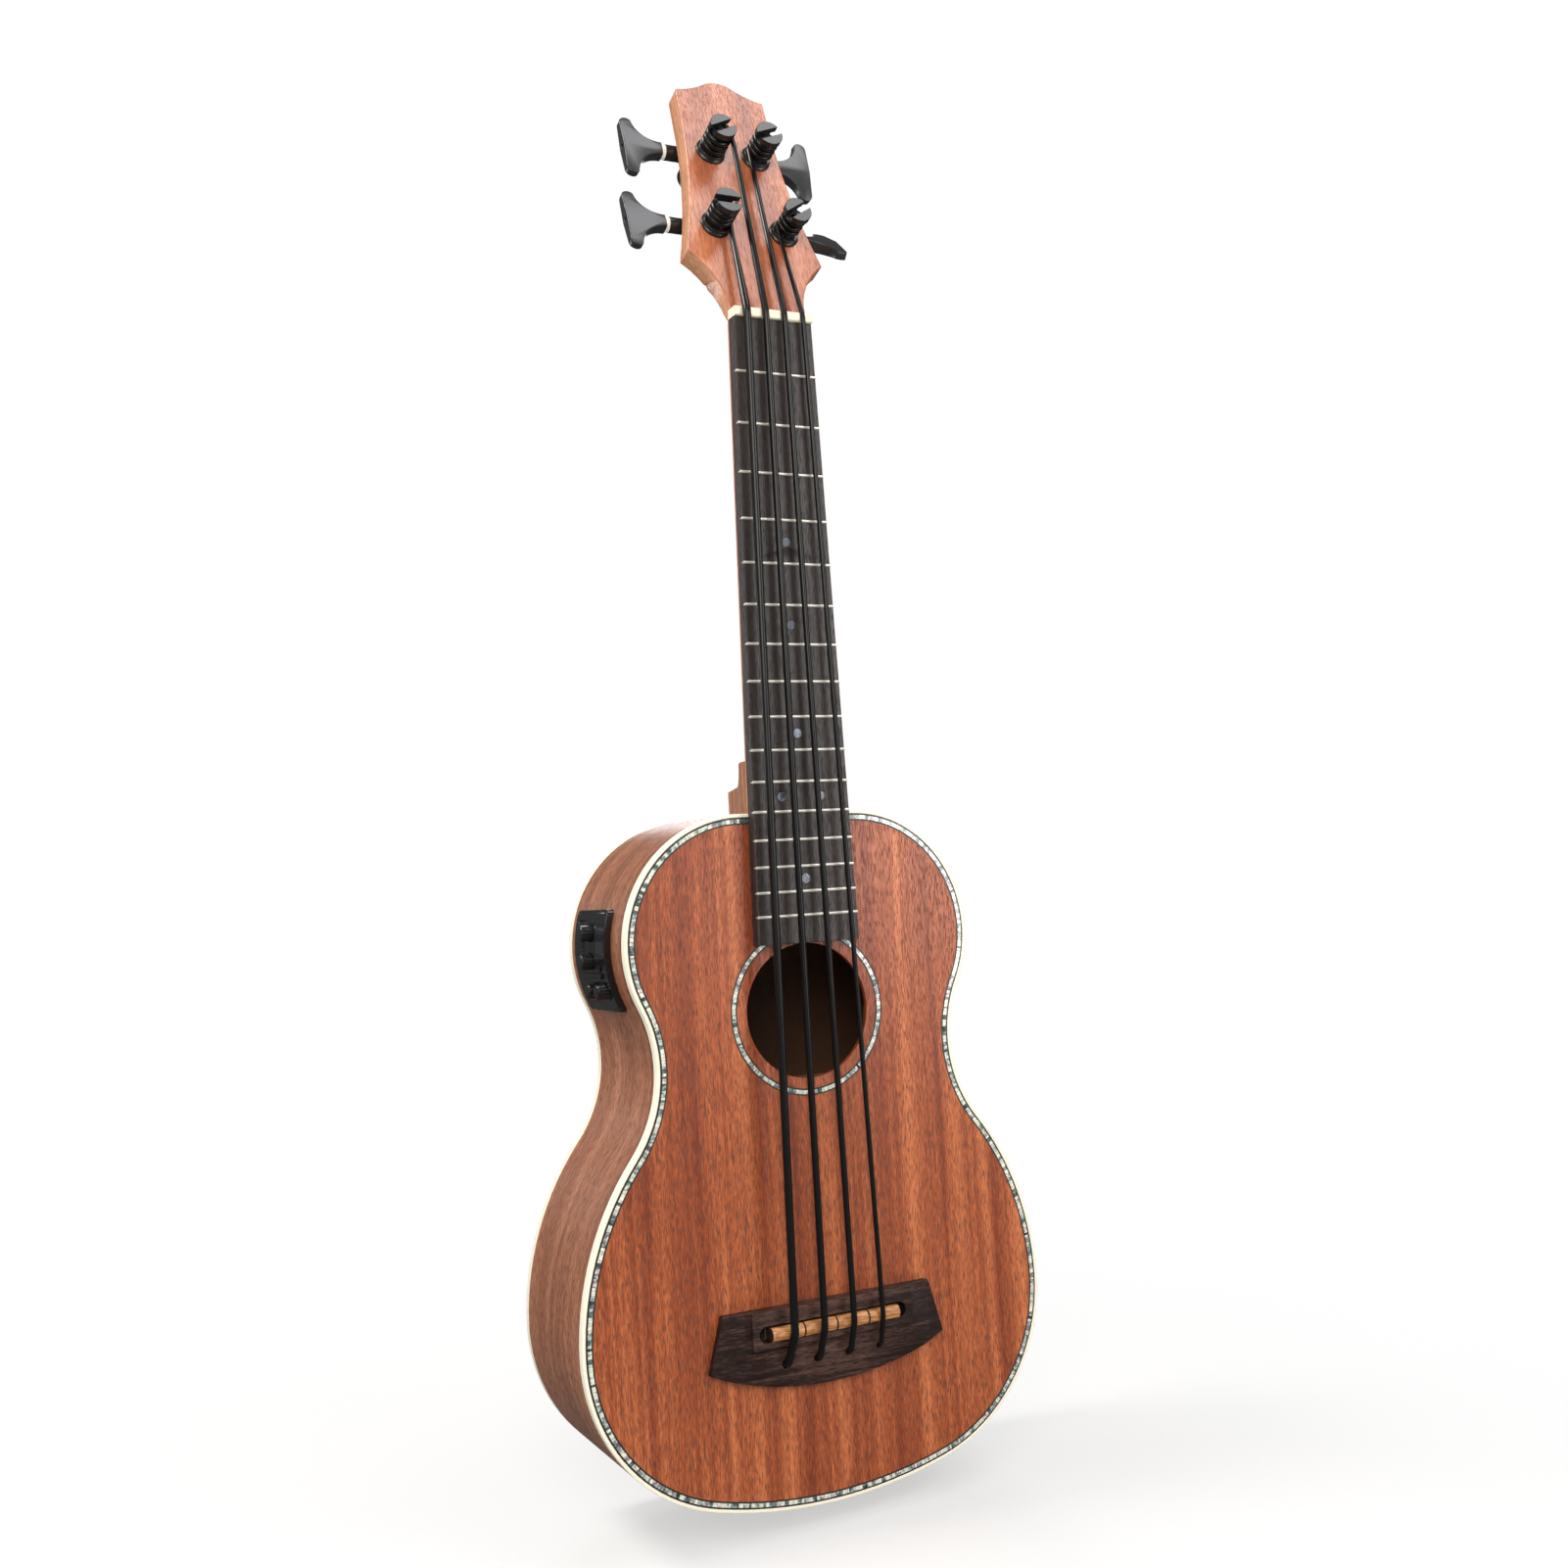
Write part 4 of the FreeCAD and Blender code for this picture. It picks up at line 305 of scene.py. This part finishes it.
keyMetal = speckled("keyMetal", (0.050, 0.050, 0.053), (0.064, 0.064, 0.067), 1400.0, 0.33, 0.04, 0.000001,
                    Metallic=0.7)
blackMetal = speckled("blackMetal", (0.026, 0.026, 0.027), (0.034, 0.034, 0.036), 1200.0, 0.27, 0.04,
                      0.000001, Metallic=0.6)
fretMetal = speckled("fretMetal", (0.58, 0.56, 0.51), (0.70, 0.68, 0.62), 1600.0, 0.42, 0.14, 0.00001,
                     Metallic=0.5)
steel = speckled("steel", (0.48, 0.48, 0.48), (0.60, 0.60, 0.60), 1500.0, 0.30, 0.16, 0.00001, Metallic=1.0)
cellMetal = speckled("cellMetal", (0.62, 0.62, 0.60), (0.74, 0.74, 0.72), 900.0, 0.26, 0.12, 0.00001,
                     Metallic=1.0)
pickupStrip = speckled("pickupStrip", (0.10, 0.10, 0.11), (0.17, 0.17, 0.18), 900.0, 0.5, 0.2)


# Shell and pearl

shellLook = {
    "swirl": 420.0, "vein": (1500.0, 1500.0, 700.0), "veinRange": (0.58, 0.72), "veinShade": 0.4,
    "veinColour": (0.03, 0.06, 0.055), "tintShare": 0.80, "swirlShare": 0.75, "toneDrop": 0.31,
    "roughness": 0.12, "swirlRoughness": 0.2, "metallic": 0.15, "metallicRange": (0.2, 0.6), "bump": 0.00004,
    "stops": ((0.00, (0.018, 0.024, 0.026)), (0.16, (0.10, 0.14, 0.14)), (0.30, (0.48, 0.55, 0.49)),
              (0.46, (0.78, 0.76, 0.63)), (0.57, (0.50, 0.38, 0.40)), (0.67, (0.07, 0.10, 0.12)),
              (0.80, (0.58, 0.61, 0.52)), (1.00, (0.84, 0.81, 0.69))),
}
pearlLook = {
    "swirl": 380.0, "roughness": 0.16, "swirlRoughness": 0.15, "bump": 0.00002,
    "stops": ((0.34, (0.030, 0.033, 0.045)), (0.52, (0.060, 0.070, 0.105)), (0.66, (0.17, 0.20, 0.31))),
}


def shellPaint(graph):
    look = shellLook
    place = graph.objectPlace()
    swirl = graph.evenNoise(place, look["swirl"], 3.0, 0.6)
    vein = graph.noise(place, look["vein"])
    tone = graph.attribute("tint") * look["tintShare"] + swirl * look["swirlShare"] - look["toneDrop"]
    veined = graph.limit(vein, *look["veinRange"]) * look["veinShade"]
    colour = graph.mix(veined, graph.ramp(tone, look["stops"]), (*look["veinColour"], 1))
    return {"Base Color": colour, "Roughness": swirl * look["swirlRoughness"] + look["roughness"],
            "Metallic": graph.limit(vein, *look["metallicRange"]) * look["metallic"],
            "Normal": graph.bump(swirl, look["bump"])}


def pearlPaint(graph):
    look = pearlLook
    swirl = graph.evenNoise(graph.objectPlace(), look["swirl"], 3.0, 0.6)
    return {"Base Color": graph.ramp(swirl, look["stops"]),
            "Roughness": swirl * look["swirlRoughness"] + look["roughness"],
            "Normal": graph.bump(swirl, look["bump"])}


shellTile = material("shellTile", shellPaint, Coat_Weight=0.4, Coat_Roughness=0.1)
pearl = material("pearl", pearlPaint, Coat_Weight=0.2, Coat_Roughness=0.2)
print("materials made:", len(bpy.data.materials))


# Looks of the CAD nodes: material, edge rounding in millimetres and, for the keys, a wider crease angle

looks = {
    "soundboard": (topWood, 0.0), "back_plate": (backWood, 0.0), "side_bass": (sideWood, 0.0),
    "side_treble": (sideWood, 0.0), "end_graft": (sideWood, 0.0), "neck": (neckWood, 0.7),
    "fingerboard": (boardWood, 0.35), "bridge": (bridgeWood, 0.45), "saddles": (saddleWood, 0.3),
    "nut": (boneWhite, 0.15), "binding_front": (bindingCream, 0.6), "binding_back": (bindingCream, 0.6),
    "inlay_lines": (blackLine, 0.0), "frets": (fretMetal, 0.0), "position_dots": (pearl, 0.0),
    "piezo_strip": (pickupStrip, 0.0), "string_windings": (stringPolymer, 0.0),
    "preamp_case": (blackPlastic, 0.0), "preamp_bezel": (blackPlastic, 0.35),
    "tuner_display": (displayGlass, 0.0), "preamp_screws": (blackMetal, 0.12),
    "battery_tray": (blackPlastic, 0.15), "battery_cells": (cellMetal, 0.3), "jack_barrel": (steel, 0.25),
    "strap_button": (steel, 0.35), "tuner_housings": (blackMetal, 0.35), "tuner_bushings": (blackMetal, 0.25),
    "tuner_screws": (blackMetal, 0.15), "key_washers": (nylonWhite, 0.2),
}
for name in ("linings", "neck_block", "tail_block", "braces_front", "braces_back", "bridge_plate"):
    looks[name] = (insideWood, 0.0)
for number in range(1, 5):
    looks[f"string_{number}"] = (stringPolymer, 0.0)
    looks[f"preamp_knob_{number}"] = (knobPlastic, 0.2)
    looks[f"key_{number}"] = (keyMetal, 0.4, 75.0)
    looks[f"key_shaft_{number}"] = (blackMetal, 0.0)
    looks[f"post_{number}"] = (blackMetal, 0.25)
for number in (1, 2):
    looks[f"preamp_button_{number}"] = (knobPlastic, 0.3)

bodyOf = {name: body for body, members in record["behaviour"]["bodies"].items() for name in members}


def dress(thing, look):
    thing.data.materials.clear()
    thing.data.materials.append(look)


def placed(name, mesh):
    piece = bpy.data.objects.new(name, mesh)
    bpy.context.scene.collection.objects.link(piece)
    return piece


def applied(thing):
    mesh = bpy.data.meshes.new_from_object(thing.evaluated_get(bpy.context.evaluated_depsgraph_get()))
    thing.modifiers.clear()
    thing.data = mesh


def replaceNode(piece, look, node):
    dress(piece, look)
    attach(piece, bodyOf[node])
    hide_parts(node)


# Rounded edges: lengths in millimetres and angles in degrees

rounding = {"merge": 0.002, "flat": 0.5, "segments": 3, "angle": 38.0, "slack": 0.02, "reach": 0.9}
nutCrown = {"board": -54.0, "top": -57.2, "drop": 0.9}


def solidMesh(node):
    work = bmesh.new()
    work.from_mesh(nodes[node].data)
    bmesh.ops.remove_doubles(work, verts=work.verts, dist=rounding["merge"] * millimetre)
    flat = math.radians(rounding["flat"])
    bmesh.ops.dissolve_limit(work, angle_limit=flat, verts=work.verts, edges=work.edges)
    mesh = bpy.data.meshes.new(node + "_form")
    work.to_mesh(mesh)
    work.free()
    return mesh


def smooth(mesh, angle):
    mesh.polygons.foreach_set("use_smooth", [True] * len(mesh.polygons))
    mesh.set_sharp_from_angle(angle=math.radians(angle))


def heldTo(piece, node, reach):
    # Puts back what the bevel moved far or outwards from the CAD surface
    cad = nodes[node].data
    surface = BVHTree.FromPolygons([v.co for v in cad.vertices], [p.vertices for p in cad.polygons])
    for vertex in piece.data.vertices:
        near, normal, _, distance = surface.find_nearest(vertex.co)
        if distance > reach or (vertex.co - near).dot(normal) > rounding["slack"] * millimetre:
            vertex.co = near


def lowered(mesh):
    low, high = nutCrown["board"] * millimetre, nutCrown["top"] * millimetre
    for vertex in mesh.vertices:
        share = (vertex.co.y - low) / (high - low)
        if share > 0:
            vertex.co.y += share * nutCrown["drop"] * millimetre


def rounded(node, look, width, crease=rounding["angle"]):
    piece = placed(node + "_rounded", solidMesh(node))
    edge = piece.modifiers.new("edge", "BEVEL")
    edge.width = width * millimetre
    edge.segments = rounding["segments"]
    edge.limit_method = "ANGLE"
    edge.angle_limit = math.radians(rounding["angle"])
    edge.use_clamp_overlap = False
    edge.harden_normals = crease <= rounding["angle"]
    edge.miter_outer = "MITER_ARC"
    smooth(piece.data, crease)
    applied(piece)
    heldTo(piece, node, width * rounding["reach"] * millimetre)
    if node == "nut":
        lowered(piece.data)
    replaceNode(piece, look, node)


for name, (look, *edges) in looks.items():
    if edges[0]:
        rounded(name, look, *edges)
    else:
        dress(nodes[name], look)
print("nodes dressed:", len(looks))


# Shell inlays: tiles along a path, cut to random lengths, in millimetres

inlay = {"inset": 3.85, "width": 2.05, "face": -47.0, "proud": 0.05, "depth": 0.6, "shortest": 0.9,
         "longest": 2.8, "joint": 0.14, "seed": 7, "rosetteRadius": 42.65, "rosetteHeight": 252.506}
outline = {"bodyLength": 357.0, "lowerHalf": 133.0, "lowerHeight": 94.998, "tailRadius": 260.0,
           "waistHalf": 86.5, "waistHeight": 230.015, "waistRadius": 70.0, "upperHalf": 100.5,
           "upperHeight": 289.991}


def outlineArcs(inset):
    # Half the body's outline from the tail up: centre x and z, radius, and the angles at both ends
    o = outline
    half, height, tail = o["lowerHalf"], o["lowerHeight"], o["tailRadius"]
    corner = (2 * tail * height - half**2 - height**2) / (2 * (tail - half))
    waistX, bend = o["waistHalf"] + o["waistRadius"], o["waistRadius"]
    turn = math.atan2(height - tail, half - corner)

    def toWaist(halfWidth, place):
        across, along = waistX - halfWidth, o["waistHeight"] - place
        return (across**2 + along**2 - bend**2) / (2 * (bend - across))

    flank, upper = toWaist(half, height), toWaist(o["upperHalf"], o["upperHeight"])
    leave = math.atan2(o["waistHeight"] - height, waistX - half + flank)
    enter = math.atan2(o["waistHeight"] - o["upperHeight"], waistX - o["upperHalf"] + upper)
    shoulder = o["bodyLength"] - o["upperHeight"]
    return [(0, tail, tail - inset, -math.pi / 2, turn), (half - corner, height, corner - inset, turn, 0),
            (half - flank, height, flank - inset, 0, leave),
            (waistX, o["waistHeight"], -(bend + inset), leave, enter),
            (o["upperHalf"] - upper, o["upperHeight"], upper - inset, enter, 0),
            (o["upperHalf"] - shoulder, o["upperHeight"], shoulder - inset, 0, math.pi / 2)]


def pathPoint(arcs, distance):
    for x, z, radius, start, stop in arcs:
        length = abs(radius * (stop - start))
        if distance <= length:
            angle = start + (stop - start) * distance / length
            way = math.copysign(1, radius * (stop - start))
            return x + radius * math.cos(angle), z + radius * math.sin(angle), angle + way * math.pi / 2
        distance -= length
    return None


def pathLength(arcs):
    return sum(abs(radius * (stop - start)) for x, z, radius, start, stop in arcs)


def tilePlaces(arcs, chance, side=1):
    # Each tile: x, z, angle, length and a random tint
    total, at, tiles = pathLength(arcs), 0.0, []
    while at < total:
        length = min(chance.uniform(inlay["shortest"], inlay["longest"]), total - at)
        point = pathPoint(arcs, at + length / 2)
        if length > inlay["joint"] * 2 and point:
            x, z, angle = point
            tiles.append((side * x, z, -side * angle, length - inlay["joint"], chance.random()))
        at += length
    return tiles


def tileTree():
    tree = bpy.data.node_groups.new("shellTiles", "GeometryNodeTree")
    tree.is_modifier = True
    tree.interface.new_socket("Geometry", in_out="INPUT", socket_type="NodeSocketGeometry")
    for name in ("Width", "Depth"):
        tree.interface.new_socket(name, in_out="INPUT", socket_type="NodeSocketFloat")
    tree.interface.new_socket("Material", in_out="INPUT", socket_type="NodeSocketMaterial")
    tree.interface.new_socket("Geometry", in_out="OUTPUT", socket_type="NodeSocketGeometry")
    graph = Graph(tree)
    given = graph.add("NodeGroupInput").link.node

    def named(name):
        settings = {"data_type": "FLOAT"}
        return graph.add("GeometryNodeInputNamedAttribute", settings, {"Name": name}, "Attribute")

    def entry(name):
        return Socket(graph, given.outputs[name])

    points = graph.add("GeometryNodeMeshToPoints", values={"Mesh": entry("Geometry")})
    cube = graph.add("GeometryNodeMeshCube", values={"Size": (1.0, 1.0, 1.0)})
    turn = graph.vectorOf(Y=named("angle"))
    size = graph.vectorOf(X=named("length"), Y=entry("Depth"), Z=entry("Width"))
    tiles = graph.add("GeometryNodeInstanceOnPoints",
                      values={"Points": points, "Instance": cube, "Rotation": turn, "Scale": size})
    tiles = graph.add("GeometryNodeRealizeInstances", values={"Geometry": tiles})
    tiles = graph.add("GeometryNodeSetMaterial", values={"Geometry": tiles, "Material": entry("Material")})
    result = tree.nodes.new("NodeGroupOutput")
    tree.links.new(tiles.link, result.inputs[0])
    return tree


shellTree = tileTree()


def setInput(modifier, name, value):
    items = modifier.node_group.interface.items_tree
    identifier = next(item.identifier for item in items if item.name == name and item.in_out == "INPUT")
    modifier[identifier] = value


def shellInlay(name, tiles, node):
    mesh = bpy.data.meshes.new(name)
    level = (inlay["face"] - inlay["proud"] + inlay["depth"] / 2) * millimetre
    mesh.from_pydata([(x * millimetre, level, z * millimetre) for x, z, *_ in tiles], [], [])
    for column, key in ((2, "angle"), (3, "length"), (4, "tint")):
        values = [tile[column] * (millimetre if key == "length" else 1) for tile in tiles]
        mesh.attributes.new(key, "FLOAT", "POINT").data.foreach_set("value", values)
    piece = placed(name, mesh)
    growth = piece.modifiers.new("tiles", "NODES")
    growth.node_group = shellTree
    setInput(growth, "Width", inlay["width"] * millimetre)
    setInput(growth, "Depth", inlay["depth"] * millimetre)
    setInput(growth, "Material", shellTile)
    applied(piece)
    # The CAD ring goes under the tiles. It has no tint, so it stays dark in the joints
    both = bmesh.new()
    both.from_mesh(piece.data)
    both.from_mesh(solidMesh(node))
    both.to_mesh(piece.data)
    both.free()
    replaceNode(piece, shellTile, node)
    print(name, "tiles:", len(tiles))


chance = random.Random(inlay["seed"])
arcs = outlineArcs(inlay["inset"])
tiles = tilePlaces(arcs, chance) + tilePlaces(arcs, chance, -1)
shellInlay("purfling_tiles", tiles, "purfling_shell")
circle = [(0.0, inlay["rosetteHeight"], inlay["rosetteRadius"], -math.pi, math.pi)]
shellInlay("rosette_tiles", tilePlaces(circle, chance), "rosette_shell")


# Stage: white room, pale floor, soft lights and the camera

stage = {"floorHeight": -0.0125, "floorHalf": 6.0, "paperDark": 0.58, "paperLight": 0.62, "paperGrain": 300.0,
         "nearGlow": 0.55, "fadeFrom": 0.12, "fadeTo": 0.6, "roomLight": 0.45, "glossLight": 0.12}
white = (1, 1, 1, 1)


def grey(value):
    return (value, value, value, 1)


def floorMaterial():
    # White to the camera further out, near the object about half paper, and dim in reflections
    made = bpy.data.materials.new("floorPaper")
    made.use_nodes = True
    tree = made.node_tree
    tree.nodes.remove(tree.nodes["Principled BSDF"])
    graph = Graph(tree)
    place = graph.objectPlace()
    away = graph.limit(graph.vector("LENGTH", place, output="Value"), stage["fadeFrom"], stage["fadeTo"])
    grain = graph.evenNoise(place, stage["paperGrain"])
    paper = graph.add("ShaderNodeBsdfDiffuse", values={
        "Color": graph.mix(grain, grey(stage["paperDark"]), grey(stage["paperLight"]))})
    glow = graph.add("ShaderNodeEmission", values={"Color": white, "Strength": 1.0})
    dim = graph.add("ShaderNodeEmission", values={"Color": white, "Strength": stage["glossLight"]})
    share = (away * (1.0 - stage["nearGlow"]) + stage["nearGlow"]) * graph.lightPath("Is Camera Ray")
    seen = graph.add("ShaderNodeMixShader", values={0: share, 1: paper, 2: glow})
    seen = graph.add("ShaderNodeMixShader", values={0: graph.lightPath("Is Glossy Ray"), 1: seen, 2: dim})
    tree.links.new(seen.link, tree.nodes["Material Output"].inputs["Surface"])
    return made


half, level = stage["floorHalf"], stage["floorHeight"]
floorMesh = bpy.data.meshes.new("floor")
corners = [(-half, -half), (half, -half), (half, half), (-half, half)]
floorMesh.from_pydata([(x, y, level) for x, y in corners], [], [(0, 1, 2, 3)])
floor = placed("floor", floorMesh)
dress(floor, floorMaterial())

# The room is white to the camera, dim in reflections and in between as light
world = bpy.data.worlds.new("room")
bpy.context.scene.world = world
world.use_nodes = True
graph = Graph(world.node_tree)
toCamera = graph.lightPath("Is Camera Ray") * (1.0 - stage["roomLight"])
toGloss = graph.lightPath("Is Glossy Ray") * (stage["glossLight"] - stage["roomLight"])
background = world.node_tree.nodes["Background"]
graph.put(background.inputs["Strength"], toCamera + toGloss + stage["roomLight"])
graph.put(background.inputs["Color"], white)

# Each lamp: place, aim, size in metres, watts and warmth
lamps = {
    "keyRight": ((0.62, -0.80, 0.85), (0.05, -0.05, 0.40), 0.45, 3.5, 0.0),
    "sheenRight": ((0.78, -1.15, 0.42), (0.08, -0.05, 0.32), 0.5, 4.5, 0.0),
    "fillLeft": ((-0.66, -1.20, 0.95), (-0.05, 0, 0.34), 0.9, 16.5, 0.18),
    "rimLeft": ((-0.85, 0.15, 1.50), (-0.09, 0, 0.40), 0.5, 20.0, 0.06),
    "glintLeft": ((-0.85, 0.85, 0.60), (-0.10, 0, 0.32), 0.25, 2.0, 0.0),
    "topSoft": ((0.50, -0.60, 1.85), (0, -0.05, 0.6), 0.6, 6.5, 0.0),
    "backSoft": ((0.55, 1.35, 1.15), (0.0, 0, 0.40), 0.7, 9.0, 0.0),
}
warmGreen = 0.4  # how much of its warmth a lamp loses in green
for name, (place, aim, size, watts, warmth) in lamps.items():
    light = bpy.data.lights.new(name, "AREA")
    light.shape = "DISK"
    light.size = size
    light.energy = watts
    light.color = (1.0, 1.0 - warmth * warmGreen, 1.0 - warmth)
    lamp = placed(name, light)
    lamp.rotation_euler = (Vector(aim) - Vector(place)).to_track_quat("-Z", "Y").to_euler()
    lamp.location = place

view = {"place": (-0.38608, -0.81323, 0.31856), "turn": (93.57681, 3.36129, -26.16437), "lens": 37.2069,
        "sensor": 36.0, "clip": 0.01}
lens = bpy.data.cameras.new("photoCamera")
lens.lens = view["lens"]
lens.sensor_width = view["sensor"]
lens.clip_start = view["clip"]
camera = placed("photoCamera", lens)
camera.location = view["place"]
camera.rotation_euler = Euler([math.radians(angle) for angle in view["turn"]], "XYZ")
bpy.context.scene.camera = camera
bpy.context.scene.view_settings.view_transform = "Standard"
print("stage set")
